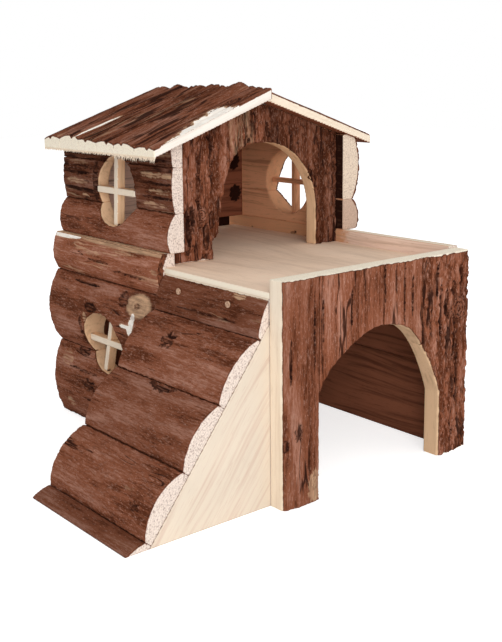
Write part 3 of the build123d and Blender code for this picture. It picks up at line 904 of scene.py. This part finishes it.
def splinter_tree():
    """Thin splinters that hang from a sawn edge, more or less at random."""
    found = bpy.data.node_groups.get("Splinters")
    if found:
        return found
    net = GeometryNet("Splinters", {
        "Start": ("Vector", None), "End": ("Vector", None), "Count": ("Int", 100),
        "Length": ("Float", 2 * MM), "Width": ("Float", 0.5 * MM), "Seed": ("Int", 1),
        "Wood": ("Material", None),
    })
    given = net.input
    edge = net.vector("SUBTRACT", given["End"], given["Start"])
    offset = net.scaled(edge, net.over(1.0, given["Count"]))
    inputs = {"Count": given["Count"], "Start Location": given["Start"], "Offset": offset}
    line = net.output("GeometryNodeMeshLine", inputs)
    jitter = net.random(given["Seed"], (-0.6 * MM, -0.6 * MM, -0.1 * MM), (0.3 * MM, 0.6 * MM, 0.3 * MM))
    line = net.shifted(line, offset=jitter)
    cone = net.output("GeometryNodeMeshCone", {
        "Vertices": 5, "Radius Top": 0.0, "Radius Bottom": given["Width"], "Depth": given["Length"],
    })
    turn = net.random(given["Seed"], (math.pi - 0.5, -0.5, 0.0), (math.pi + 0.5, 0.5, math.pi))
    size = net.random(given["Seed"], (0.5, 0.5, 0.15), (1.2, 1.0, 1.0))
    copies = net.output("GeometryNodeInstanceOnPoints", {
        "Points": line, "Instance": cone, "Rotation": turn, "Scale": size,
    })
    return net.end(net.painted(net.real(copies), given["Wood"]))


def house_place(x, y, z):
    """A place in the frame, from millimetres right of, behind and above the front wall's left corner."""
    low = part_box("front_wall_board_1")[0]
    return Vector((low.x + x * MM, low.y + (y + FRONT_BULGE) * MM, z * MM))


def cad_copy(node):
    """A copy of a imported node's mesh, with its loose triangles joined."""
    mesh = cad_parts[node].data.copy()
    work = bmesh.new()
    work.from_mesh(mesh)
    bmesh.ops.remove_doubles(work, verts=work.verts, dist=0.001 * MM)
    work.to_mesh(mesh)
    work.free()
    return mesh


def flat_side_direction(mesh, rough):
    """The exact outward direction of a slab: away from its flat sawn side."""
    total = Vector()
    for face in mesh.polygons:
        if face.normal.dot(rough) < -0.8:
            total -= face.normal * face.area
    return total.normalized() if total.length > 0 else rough.normalized()


def set_attribute(mesh, name, values, kind="FLOAT"):
    """Stores a number or a vector on each point of a mesh."""
    layer = mesh.attributes.get(name) or mesh.attributes.new(name, kind, "POINT")
    field = "vector" if kind == "FLOAT_VECTOR" else "value"
    layer.data.foreach_set(field, np.ascontiguousarray(values, np.float32).ravel())


def search_tree(mesh, faces):
    """Finds the nearest of some faces of a mesh."""
    return BVHTree.FromPolygons([v.co for v in mesh.vertices], [tuple(face.vertices) for face in faces])


def point_places(mesh):
    """The places of a mesh's points, a row for each."""
    places = np.empty(len(mesh.vertices) * 3, np.float32)
    mesh.vertices.foreach_get("co", places)
    return places.reshape(-1, 3)


def fine_mesh(node, size):
    """The node's shape as an even fine mesh on its exact surface, and each point's exact normal."""
    exact = cad_copy(node)
    piece = new_piece(node + "_fine", exact.copy())
    remesh = piece.modifiers.new("Even mesh", "REMESH")
    remesh.mode = "VOXEL"
    remesh.voxel_size = size
    remesh.use_smooth_shade = True
    made_plain(piece)
    tree = search_tree(exact, exact.polygons)
    hits = [tree.find_nearest(vertex.co) for vertex in piece.data.vertices]
    piece.data.vertices.foreach_set("co", np.array([hit[0] for hit in hits], np.float32).ravel())
    return piece, exact, np.array([hit[1] for hit in hits])


def bark_depths(piece, exact, outward):
    """How far each point of a slab lies from its bark side."""
    barked = [face for face in exact.polygons if face.normal.dot(outward) > BARK_LIMIT]
    if not barked:
        return np.ones(len(piece.data.vertices))
    tree = search_tree(exact, barked)
    return np.array([tree.find_nearest(vertex.co)[3] for vertex in piece.data.vertices])


def add_mark(piece, mark, axes, origin, inner_side):
    """Stacks one mark's tree on a slab, before its relief, for its bark or for its flat inner side."""
    centre = axes @ np.array(house_place(*mark.place)) - origin
    lengths = {name: getattr(mark, name) * MM for name in ("along", "across", "height", "wander")}
    strengths = {name: float(getattr(mark, name)) for name in ("bare", "dark", "rings", "points", "ragged")}
    add_nodes_modifier(
        piece, mark_tree(), centre=centre.tolist(), inner_side=float(inner_side), **lengths, **strengths
    )


def in_window(mesh, window):
    """Which points lie on the rim of a window, from the boxes of its bars."""
    level_low, level_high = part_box(window + "_bar_level")
    upright_low, upright_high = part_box(window + "_bar_upright")
    _, y, z = point_places(mesh).T
    across = (y - (level_low.y + level_high.y) / 2) / ((level_high.y - level_low.y) / 2 + MM)
    up = (z - (upright_low.z + upright_high.z) / 2) / ((upright_high.z - upright_low.z) / 2 + MM)
    return across ** 2 + up ** 2 < WINDOW_MARGIN


def joint_shade_shares(node, mesh, on_side):
    """How much painted shade each point of a slab's sawn sides gets, for the joint with a slab beside it."""
    shares = np.zeros(len(mesh.vertices))
    beside = bmesh.new()
    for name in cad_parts:
        is_slab = any(word in name for word in ("slab", "board", "step"))
        if is_slab and name != node and boxes_touch(node, name):
            beside.from_mesh(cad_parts[name].data)
    tree = BVHTree.FromBMesh(beside)
    beside.free()
    for index in np.flatnonzero(on_side):
        place, _, _, distance = tree.find_nearest(mesh.vertices[index].co, JOINT_REACH)
        if place is not None:
            shares[index] = min(1.0, JOINT_REACH / MM - distance / MM)
    return shares


def boxes_touch(first, second):
    """Whether two nodes' boxes come within a millimetre of each other."""
    (low, high), (other_low, other_high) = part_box(first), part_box(second)
    return all(a <= d + MM and c <= b + MM for a, b, c, d in zip(low, high, other_low, other_high))


def slab(node, rough_outward, along, style, variant, tone=1.0, size_factor=1.0, sides="sawn_pale",
         inner="sawn_inner", end="end_grain", face=None, layer=1.2, end_layer=None, torn=1.2, window=None,
         closed_end=False, marks=(), inner_marks=()):
    """One bark slab or sawn board as a fine mesh with its relief, as a piece that isn't plain yet.

    A larger size factor gives a coarser mesh. Sides, inner, end and face name the materials. Layer and
    end layer are how thick the bark looks on the sawn sides and on the ends, and torn is how far the
    rim is torn, in millimetres. A closed end looks like the flat side where the grain's axis leaves it.
    """
    settings = bpy.context.scene.bark_house_bark
    piece, exact, normals = fine_mesh(node, settings.mesh_size * size_factor)
    outward = flat_side_direction(exact, rough_outward)
    along = (along - outward * along.dot(outward)).normalized()
    across = outward.cross(along)
    axes = np.array([along, across, outward])
    mesh = piece.data
    places = point_places(mesh) @ axes.T
    low, high = places.min(axis=0), places.max(axis=0)

    # The grain's origin is the middle of the flat side, and each point gets the face that it is on
    origin = np.array([(low[0] + high[0]) / 2, (low[1] + high[1]) / 2, low[2]])
    facing = normals @ axes.T
    planed = style.groove == 0
    is_bark = facing[:, 2] > BARK_LIMIT
    is_inner = (facing[:, 2] < -INNER_LIMIT) & ~is_bark
    near_end = np.minimum(places[:, 0] - low[0], high[0] - places[:, 0]) < END_REACH
    is_end = near_end & (np.abs(facing[:, 0]) > END_LIMIT) & ~is_bark & ~is_inner
    if window:
        is_end &= ~in_window(mesh, window)
    if closed_end:
        is_inner |= is_end & (facing[:, 0] > 0)
        is_end &= ~is_inner
    depths = bark_depths(piece, exact, outward)
    on_side = ~is_bark & ~is_end & (np.abs(facing[:, 1]) > SIDE_LIMIT)
    values = {
        "bark": is_bark, "inner": is_inner, "end": is_end, "facing": facing[:, 2],
        "barked": not planed, "bark_depth": depths,
        # The seam share is painted shade in the joint with the slab beside
        "seam": joint_shade_shares(node, mesh, on_side & (depths < JOINT_DEPTH)),
        "layer": np.where(is_end, end_layer or layer, layer) * MM, "variant": variant, "tone": tone,
        "flakes": style.flakes, "lines": style.lines, "veins": style.veins,
        "dark": 0.0, "ring": 0.0, "bare": 0.0, "calm": 0.0,
    }
    set_attribute(mesh, "grain", places - origin, "FLOAT_VECTOR")
    for name, value in values.items():
        set_attribute(mesh, name, np.broadcast_to(value, len(places)))
    for mark in marks:
        add_mark(piece, mark, axes, origin, inner_side=False)
    for mark in inner_marks:
        add_mark(piece, mark, axes, origin, inner_side=True)
    add_nodes_modifier(
        piece, relief_tree(), spacing=style.spacing * MM, stretch=style.stretch,
        groove_depth=style.groove * MM, crack_depth=style.crack * MM,
        plate_size=style.plate_size * MM, plate_depth=style.plate * MM,
        fibre_depth=style.fibre * MM, swell_depth=style.swell * MM,
        torn_edge=torn * MM, floor=FLOOR_HEIGHT,
        bark=material(face or (sides if planed else "bark")), inner=material(sides if planed else inner),
        sawn=material(sides), end=material(end),
    )
    return piece


def finished(piece, node):
    """Makes a slab's mesh plain and puts it in its node's place."""
    made_plain(piece)
    piece.name = node + "_wood"
    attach(piece, "root")
    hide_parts(node)


def bark_slab(node, outward, along, style, variant, **options):
    """Makes a slab with bark."""
    finished(slab(node, outward, along, style, variant, **options), node)


def sawn_board(node, outward, along, variant, **options):
    """Makes a board or batten without bark."""
    finished(slab(node, outward, along, PLANED, variant, **options), node)


def smooth_copy(node, bevel_width, look):
    """Makes a copy of a node with eased edges, for what has no bark and no coarse grain."""
    piece = new_piece(node + "_eased", cad_copy(node))
    bevel = piece.modifiers.new("Eased edges", "BEVEL")
    bevel.width = bevel_width
    bevel.segments = 2
    made_plain(piece)
    piece.data.materials.clear()
    piece.data.materials.append(material(look))
    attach(piece, "root")
    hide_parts(node)


# The groups of pieces, each with its own operator


def ramp_directions():
    """Out of the ramp's slope, and down it."""
    low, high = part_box("ramp_side_board_front")
    deck_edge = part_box("deck")[0].x
    down = Vector((low.x - deck_edge, 0, -high.z)).normalized()
    return BACK.cross(down), down


class BARKHOUSE_OT_front_wall(bpy.types.Operator):
    """Make the lower front wall's upright bark boards"""

    bl_idname = "bark_house.front_wall"
    bl_label = "Front wall"

    def execute(self, context):
        foot_marks = (
            star(12.2, -1, 51.2, 4, 2.5), hollow(1.7, -1, 44.5, 3.5, 2.5), crack(22, -1, 34, 12),
            chip(27, -1, 11, 12, 6.5, 0.78), knot(27, -1, 14, 5, 3.5), crack(27, -1, 120, 24),
            crack(6, -1, 100, 14),
        )
        seam_marks = (crack(34.5, -1, 120, 30, 0.6), crack(73.3, -1, 143, 11), crack(60, -1, 128, 12))
        plate_marks = (
            crack(87, -1, 135, 20), crack(93.5, -1, 138, 16), crack(112, -1, 131, 22),
            crack(121, -1, 128, 14), crack(104, -1, 142, 9), crack(133, -1, 124, 26, 0.8),
        )
        ring_marks = (
            knot(172, -1, 111, 10, 10), crack(152, -1, 112, 24, 2.5), crack(160, -1, 98, 22, 2.5),
            hollow(158, -1, 118, 9, 1.8), crack(168, -1, 90, 13), crack(172, -1, 60, 26),
            crack(148, -1, 135, 12), crack(176, -1, 134, 12), hollow(166, -1, 126, 5, 2),
        )
        left = {"end": "end_cream", "size_factor": 0.85}
        right = {"sides": "sawn_shaded_pale", **left}
        board = "front_wall_board_"
        bark_slab(board + "1", FRONT, UP, FIBROUS, 0.1, tone=0.93, marks=foot_marks, **left)
        bark_slab(board + "2", FRONT, UP, FIBROUS, 0.2, tone=1.05, marks=seam_marks, **left)
        bark_slab(board + "3", FRONT, UP, CRACKED, 0.3, tone=1.05, marks=plate_marks, **right)
        bark_slab(board + "4", FRONT, UP, FURROWED, 0.4, tone=1.1, torn=2.4, marks=ring_marks, **right)
        return {"FINISHED"}


class BARKHOUSE_OT_side_walls(bpy.types.Operator):
    """Make the lower side walls' level bark slabs and their kerbs"""

    bl_idname = "bark_house.side_walls"
    bl_label = "Lower side walls"

    def execute(self, context):
        branch_marks = (
            sawn_branch(-8.2, 155, 113.1, 18, 9.5), hollow(-8.6, 157, 113, 3, 1.8),
            hollow(-7.4, 176.5, 115, 6, 5), chip(-10, 159.5, 103, 3.4, 5, 1, 0.2),
            chip(-11, 161, 98.5, 3.9, 5, 1, 0.2), chip(-11.5, 163, 93.5, 4, 5, 1, 0.2),
            chip(-12, 169.5, 95.5, 8, 2, 1, 0.2), hollow(-11.6, 221, 102, 8, 3.5),
            chip(-12, 229, 93, 3, 4, 0.6), hollow(-11, 236.5, 80, 2.2, 11), crack(-5, 235, 119, 18, 1),
        )
        low_marks = (
            chip(-7.4, 263.5, 13.2, 6, 4, 0.7), chip(-7, 268, 51, 9, 7, 0.5), star(-9.7, 229.6, 35.1, 7, 4),
            hollow(-9, 245, 60, 9, 3), crack(-9, 240, 45, 20), crack(-9, 225, 22, 14),
        )
        kerb_marks = (
            chip(-5.8, 226, 145, 16, 2, 0.5, 2), chip(-4.5, 181, 150, 18, 1.6, 0.5, 2),
            chip(-6, 200, 147, 16, 1, 0.4, 2), chip(-3, 272, 154.5, 30, 3.4, 1, 0.3),
            chip(-3, 175, 154.5, 80, 3.0, 0.79, 0.3), chip(-5.9, 136, 141, 5, 2, 0.5),
            crack(-7, 170, 134, 20), crack(-7, 215, 139, 14),
        )
        window = {"window": "lower_left_window", "sides": "sawn_shaded_pale", "size_factor": 0.9}
        bark_slab("left_wall_slab_1", LEFT, BACK, SCALY, 1.1, marks=low_marks, **window)
        bark_slab("left_wall_slab_2", LEFT, BACK, SCALY, 1.2, marks=branch_marks, **window)
        kerb = {"sides": "sawn_shaded_pale", "layer": 0.5, "end_layer": 5.0, "size_factor": 0.9}
        bark_slab("left_kerb_slab", LEFT, BACK, SMOOTH, 1.3, tone=1.2, marks=kerb_marks, **kerb)
        bark_slab("right_wall_slab_1", RIGHT, BACK, SCALY, 1.4, size_factor=1.2)
        bark_slab("right_wall_slab_2", RIGHT, BACK, FURROWED, 1.5, size_factor=1.2)
        # The pale patch is painted light on the kerb's inner side in front of the gable; the small hollows
        # are real holes
        inner_marks = (
            hollow(177, 247, 145, 1.2, 1), hollow(177, 190, 146, 2.5, 1), hollow(177, 187, 147, 1.2, 1),
            painted_light_patch(177, 50, 150, 82, 20),
        )
        bark_slab(
            "right_kerb_slab", RIGHT, BACK, SMOOTH, 1.6, inner="sawn_kerb", inner_marks=inner_marks
        )
        return {"FINISHED"}


class BARKHOUSE_OT_back_walls(bpy.types.Operator):
    """Make the back walls of both storeys"""

    bl_idname = "bark_house.back_walls"
    bl_label = "Back walls"

    def execute(self, context):
        # Painted shade on the top of the last lower back board, in the dark gap under the upper back wall
        gap_shade = {4: (painted_shade(150, 274, 148, 7, 60, dark=2.0),)}
        # The dark knots are real; the pale patches are a painted pool of light on the upper back wall's
        # inner side
        knots_and_painted_light = {
            1: (dark_knot(168, 260, 176, 5.5, 6.5), painted_light_patch(60, 260, 178, 34, 30)),
            2: (dark_knot(166.5, 260, 206, 5.5, 7), painted_light_patch(60, 260, 200, 34, 30)),
        }
        for number in range(1, 5):
            look = {"size_factor": 1.2, "inner_marks": gap_shade.get(number, ())}
            bark_slab(f"back_wall_board_{number}", BACK, UP, CRACKED, 2 + 0.1 * number, **look)
        for number in range(1, 4):
            look = {"size_factor": 1.2, "inner_marks": knots_and_painted_light.get(number, ())}
            bark_slab(f"upper_back_slab_{number}", BACK, RIGHT, SCALY, 2.5 + 0.1 * number, **look)
        return {"FINISHED"}


class BARKHOUSE_OT_ramp(bpy.types.Operator):
    """Make the ramp's fascia, steps, foot slab and side boards"""

    bl_idname = "bark_house.ramp"
    bl_label = "Ramp"

    def execute(self, context):
        outward, down = ramp_directions()
        step_marks = {
            1: (star(-27.9, 87.6, 104.8, 6, 5),),
            2: (hollow(-43.8, 71.6, 80, 12, 5),),
            3: (chip(-80, 40, 20, 8, 1.2, 0.3, 2), star(-95, 30, 22, 4, 2)),
        }
        step_tones = {2: 0.87}
        for number in range(1, 4):
            look = {
                "tone": step_tones.get(number, 1.0), "marks": step_marks.get(number, ()),
                "sides": "sawn_inner", "size_factor": 0.9,
            }
            bark_slab(f"ramp_step_{number}", outward, BACK, SCALY, 3 + 0.1 * number, **look)
        plain = SMOOTH._replace(veins=0.05)
        dark = {"tone": 0.72, "sides": "sawn_inner"}
        bark_slab("ramp_foot_slab", outward, BACK, plain, 3.5, torn=0.0, **dark)
        fascia_marks = (chip(-1.6, 41, 138.6, 7, 2.2, 0.74), crack(-6, 70, 122, 30, 0.8))
        bark_slab("ramp_fascia", LEFT, BACK, SMOOTH, 3.6, marks=fascia_marks, **dark)
        sawn_board("ramp_side_board_front", FRONT, down, 3.7, sides="sawn_board")
        sawn_board("ramp_side_board_back", BACK, down, 3.8, sides="sawn_board")
        return {"FINISHED"}


class BARKHOUSE_OT_upper_side_walls(bpy.types.Operator):
    """Make the upper side walls' level bark slabs"""

    bl_idname = "bark_house.upper_side_walls"
    bl_label = "Upper side walls"

    def execute(self, context):
        # The upper inner material is the inner wood with painted light
        left = {
            "window": "upper_left_window", "sides": "sawn_shaded_pale", "inner": "sawn_upper_painted_lit", "size_factor": 0.9,
        }
        right = {
            "window": "upper_right_window", "sides": "sawn_kerb", "inner": "sawn_upper_painted_lit", "layer": 2.4,
            # Painted shade on the slabs' inner sides in front of the gable board, for the shadowed gap there
            "inner_marks": (painted_shade(177, 127, 190, 9, 120, dark=1.6, ragged=0.0),),
        }
        streaks = (
            chip(5, 152, 210.7, 17, 2.2, 0.75, 2), chip(5, 132, 210.5, 9, 1.8, 0.8, 2),
            chip(5, 140, 198.4, 18, 1.4, 0.6, 2), chip(6, 151, 188, 15, 2.2, 0.55, 2),
            crack(5, 140, 204.5, 22), crack(5, 142, 194, 22),
        )
        far_streaks_and_rim_shade = (
            chip(5, 260, 199, 20, 2, 0.6, 2), chip(6, 250, 187, 5, 2, 0.7, 2),
            chip(5.5, 260, 214.7, 16, 1.6, 0.4, 2), crack(5, 262, 206, 20), crack(6, 258, 192, 22),
            # The last hollow is a painted shadow beside the window's rim
            hollow(6, 232, 199, 3.5, 15),
        )
        under_eave = (chip(3, 140, 226, 20, 1.6, 0.4, 2), crack(3, 160, 221, 40))
        bark_slab("upper_left_slab_1", LEFT, BACK, SCALY, 4.1, tone=1.05, **left)
        bark_slab("upper_left_slab_2_front", LEFT, BACK, STREAKED, 4.2, tone=0.62, marks=streaks, **left)
        bark_slab("upper_left_slab_2_back", LEFT, BACK, STREAKED, 4.3, tone=0.62, marks=far_streaks_and_rim_shade, **left)
        bark_slab("upper_left_slab_3", LEFT, BACK, STREAKED, 4.4, tone=0.52, marks=under_eave, **left)
        bark_slab("upper_right_slab_1", RIGHT, BACK, SCALY, 4.5, end="end_rose", **right)
        bark_slab("upper_right_slab_2", RIGHT, BACK, CRACKED, 4.6, end="end_warm", **right)
        return {"FINISHED"}


class BARKHOUSE_OT_gable(bpy.types.Operator):
    """Make the two rough boards of the gable"""

    bl_idname = "bark_house.gable"
    bl_label = "Gable"

    def execute(self, context):
        left_marks = (
            star(81.1, 133, 231.5, 3.5, 3), chip(76, 133, 240, 24, 13, 0.3, 0.6), knot(36.8, 133, 180, 6, 6),
            hollow(24, 133, 166, 14, 3), hollow(41, 133, 163, 9, 2), crack(86, 133, 246, 10, 0.8),
            crack(89, 133, 244, 12, 0.8), hollow(27, 133, 178, 9, 3), crack(34, 133, 205, 24, 2.5),
            crack(46, 133, 220, 20, 2.5), hollow(46, 133, 175, 6, 2),
        )
        right_marks = (
            hollow(146, 133, 200, 6, 3), crack(112, 133, 232, 14), crack(126, 133, 225, 12),
            crack(152, 133, 180, 22), crack(146, 133, 168, 14), star(101, 133, 240, 5, 3),
        )
        rough = {"torn": 3.2, "sides": "sawn_inner", "size_factor": 0.85}
        bark_slab("gable_board_1", FRONT, UP, FURROWED, 5.1, tone=0.95, marks=left_marks, **rough)
        even = {"sides": "sawn_shaded_pale", "size_factor": 0.85}
        bark_slab("gable_board_2", FRONT, UP, FURROWED, 5.2, tone=0.68, marks=right_marks, **even)
        return {"FINISHED"}


class BARKHOUSE_OT_roof(bpy.types.Operator):
    """Make the roof's sloping slabs and the splinters along its eaves"""

    bl_idname = "bark_house.roof"
    bl_label = "Roof"

    def execute(self, context):
        gash = (
            chip(0, 105, 240, 18, 12, 1, 0.7), chip(15, 105, 246, 18, 18, 1, 0.7),
            chip(30, 105, 252, 18, 24, 1, 0.7), chip(44, 108, 257, 12, 27, 1, 0.7),
            crack(20, 128, 248, 34, 1), crack(51, 120, 259, 6, 1.5), hollow(60, 126, 263, 7, 4),
            crack(47, 113, 258, 5, 1),
        )
        left_marks = {1: gash, 5: (chip(3, 221, 243, 26, 1.8, 1, 0.3),)}
        left_slope, right_slope = Vector((-0.34, 0, 0.94)), Vector((0.34, 0, 0.94))
        left = {"tone": 0.86, "sides": "sawn_white", "torn": 0.2}
        right = {"tone": 0.9, "sides": "sawn_pale", "size_factor": 1.15}
        ends = {"end": "end_cream", "closed_end": True}
        for number in range(1, 7):
            eave, other = f"roof_left_slab_{number}", f"roof_right_slab_{number}"
            marks = left_marks.get(number, ())
            bark_slab(eave, left_slope, RIGHT, GROOVED, 6 + 0.1 * number, marks=marks, **left, **ends)
            bark_slab(other, right_slope, LEFT, GROOVED, 7 + 0.1 * number, **right, **ends)
            make_splinters(eave, number)
        return {"FINISHED"}


def make_splinters(node, seed):
    """Hangs splinters from the lower edge of a roof slab's sawn end, longer ones at the front."""
    low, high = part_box(node)
    edge = Vector((low.x + 0.3 * MM, low.y, low.z + 0.4 * MM))
    piece = new_piece(f"splinters_{seed}", bpy.data.meshes.new(f"splinters_{seed}"))
    add_nodes_modifier(
        piece, splinter_tree(), start=list(edge), end=[edge.x, high.y, edge.z], count=80,
        length=(5.2 if seed < 3 else 2.8) * MM, width=0.5 * MM, seed=seed, wood=material("sawn_pale"),
    )
    made_plain(piece)
    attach(piece, "root")


class BARKHOUSE_OT_deck(bpy.types.Operator):
    """Make the plywood deck with the rail and battens under it"""

    bl_idname = "bark_house.deck"
    bl_label = "Deck"

    def execute(self, context):
        smooth_copy("deck", 0.3 * MM, "deck_veneer")
        for number, node in enumerate(("deck_rail", "deck_batten_left", "deck_batten_right"), 1):
            sawn_board(node, DOWN, BACK, 8 + 0.1 * number, size_factor=1.4)
        return {"FINISHED"}


class BARKHOUSE_OT_window_bars(bpy.types.Operator):
    """Make the crossed bars of the three round windows"""

    bl_idname = "bark_house.window_bars"
    bl_label = "Window bars"

    def execute(self, context):
        windows = (
            ("lower_left", LEFT, "sawn_shaded_pale"), ("upper_left", LEFT, "sawn_shaded_pale"),
            ("upper_right", RIGHT, "sawn_upper_painted_lit"),
        )
        for number, (window, outward, sides) in enumerate(windows, 1):
            look = {"size_factor": 0.7, "face": "sawn_pale", "sides": sides}
            sawn_board(f"{window}_window_bar_level", outward, BACK, 9 + 0.1 * number, **look)
            sawn_board(f"{window}_window_bar_upright", outward, UP, 9.5 + 0.1 * number, **look)
        return {"FINISHED"}


class BARKHOUSE_OT_nails(bpy.types.Operator):
    """Finish the nails in the fascia"""

    bl_idname = "bark_house.nails"
    bl_label = "Nails"

    def execute(self, context):
        smooth_copy("fascia_nails", 0.25 * MM, "nail_face")
        return {"FINISHED"}


class BARKHOUSE_OT_stage(bpy.types.Operator):
    """Make the floor, the light and the camera"""

    bl_idname = "bark_house.stage"
    bl_label = "Stage"

    def execute(self, context):
        settings = bpy.context.scene.bark_house_stage
        bpy.context.scene.view_settings.view_transform = "Standard"
        make_floor(settings)
        make_world(settings.sky)
        make_area_light("key_light", (-0.95, -1.35, 0.95), 1.3, settings.key_power)
        make_area_light("front_light", (-0.55, -1.15, 0.32), 0.7, settings.front_power)
        make_area_light("fill_light", (1.2, -1.1, 0.8), 1.2, settings.fill_power)
        make_camera(settings)
        return {"FINISHED"}


# The stage and the start


def make_floor(settings):
    """A plain white floor that keeps the house's soft shadow."""
    reach = 4.0
    mesh = bpy.data.meshes.new("floor")
    corners = [(-reach, -reach, 0), (reach, -reach, 0), (reach, reach, 0), (-reach, reach, 0)]
    mesh.from_pydata(corners, [], [(0, 1, 2, 3)])
    floor = new_piece("floor", mesh)
    made, net = new_material("floor_white")
    diffuse = net.output("ShaderNodeBsdfDiffuse", {"Color": rgba(settings.floor)})
    glow = net.output("ShaderNodeEmission", {"Color": WHITE, "Strength": settings.floor_glow})
    glowing = net.output("ShaderNodeAddShader", {0: diffuse, 1: glow})
    seen = net.node("ShaderNodeLightPath").outputs["Is Camera Ray"]
    surface = net.output("ShaderNodeMixShader", {0: seen, 1: diffuse, 2: glowing})
    net.node("ShaderNodeOutputMaterial", {"Surface": surface})
    mesh.materials.append(made)


def make_world(strength):
    """Even white light, with a pure white background for the camera."""
    world = bpy.data.worlds.new("studio")
    world.use_nodes = True
    world.node_tree.nodes.clear()
    net = Net(world.node_tree)
    rays = net.node("ShaderNodeLightPath").outputs
    seen = net.highest(rays["Is Camera Ray"], rays["Is Glossy Ray"], rays["Is Transmission Ray"])
    level = net.plus(strength, net.times(seen, 1.0 - strength))
    background = net.output("ShaderNodeBackground", {"Color": WHITE, "Strength": level})
    net.node("ShaderNodeOutputWorld", {"Surface": background})
    bpy.context.scene.world = world


def make_area_light(name, place, size, power):
    """A square light that points at the middle of the house."""
    light = bpy.data.lights.new(name, "AREA")
    light.size = size
    light.energy = power
    lamp = bpy.data.objects.new(name, light)
    lamp.location = place
    lamp.rotation_euler = (LIT_PLACE - Vector(place)).to_track_quat("-Z", "Y").to_euler()
    bpy.context.scene.collection.objects.link(lamp)


def make_camera(settings):
    """The photograph's view, from its camera's lens, place and direction."""
    centre_x, centre_y = PRINCIPAL_POINT_PX
    camera = bpy.data.cameras.new("photo_camera")
    camera.lens = camera.sensor_width * FOCAL_LENGTH_PX / IMAGE_HEIGHT
    camera.shift_x = (IMAGE_WIDTH / 2 - centre_x) / IMAGE_HEIGHT
    camera.shift_y = (centre_y - IMAGE_HEIGHT / 2) / IMAGE_HEIGHT
    camera.clip_start = 10 * MM
    level = math.cos(settings.elevation)
    backward = Vector((
        math.sin(settings.azimuth) * level,
        -math.cos(settings.azimuth) * level,
        math.sin(settings.elevation),
    ))
    right = (-backward).cross(UP).normalized()
    up = right.cross(-backward)
    turn = Matrix((right, up, backward)).transposed() @ Matrix.Rotation(settings.roll, 3, "Z")
    holder = bpy.data.objects.new("photo_camera", camera)
    holder.matrix_world = Matrix.Translation(house_place(*CAMERA_PLACE)) @ turn.to_4x4()
    bpy.context.scene.collection.objects.link(holder)
    bpy.context.scene.camera = holder


OPERATORS = (
    BARKHOUSE_OT_front_wall,
    BARKHOUSE_OT_side_walls,
    BARKHOUSE_OT_back_walls,
    BARKHOUSE_OT_ramp,
    BARKHOUSE_OT_upper_side_walls,
    BARKHOUSE_OT_gable,
    BARKHOUSE_OT_roof,
    BARKHOUSE_OT_deck,
    BARKHOUSE_OT_window_bars,
    BARKHOUSE_OT_nails,
    BARKHOUSE_OT_stage,
)


class BARKHOUSE_PT_panel(bpy.types.Panel):
    """Lists the house's settings and its operators"""

    bl_idname = "BARKHOUSE_PT_panel"
    bl_label = "Bark House"
    bl_space_type = "VIEW_3D"
    bl_region_type = "UI"
    bl_category = "Bark House"

    def draw(self, context):
        for group in ("bark_house_bark", "bark_house_wood", "bark_house_stage"):
            settings = getattr(context.scene, group)
            box = self.layout.box()
            for name in settings.__annotations__:
                box.prop(settings, name)
        for operator in OPERATORS:
            self.layout.operator(operator.bl_idname)


SETTINGS = {
    "bark_house_bark": BarkSettings,
    "bark_house_wood": WoodSettings,
    "bark_house_stage": StageSettings,
}


def register():
    """Makes the settings, operators and panel known to Blender."""
    for name, group in SETTINGS.items():
        bpy.utils.register_class(group)
        setattr(bpy.types.Scene, name, PointerProperty(type=group))
    for operator in OPERATORS:
        bpy.utils.register_class(operator)
    bpy.utils.register_class(BARKHOUSE_PT_panel)


def unregister():
    """Takes away what register made known."""
    bpy.utils.unregister_class(BARKHOUSE_PT_panel)
    for operator in reversed(OPERATORS):
        bpy.utils.unregister_class(operator)
    for name, group in SETTINGS.items():
        delattr(bpy.types.Scene, name)
        bpy.utils.unregister_class(group)


def main():
    """Makes the whole house and its stage."""
    register()
    for operator in OPERATORS:
        module, name = operator.bl_idname.split(".")
        if getattr(getattr(bpy.ops, module), name)() != {"FINISHED"}:
            raise RuntimeError(f"{operator.bl_idname} didn't finish")


if __name__ == "__main__":
    main()
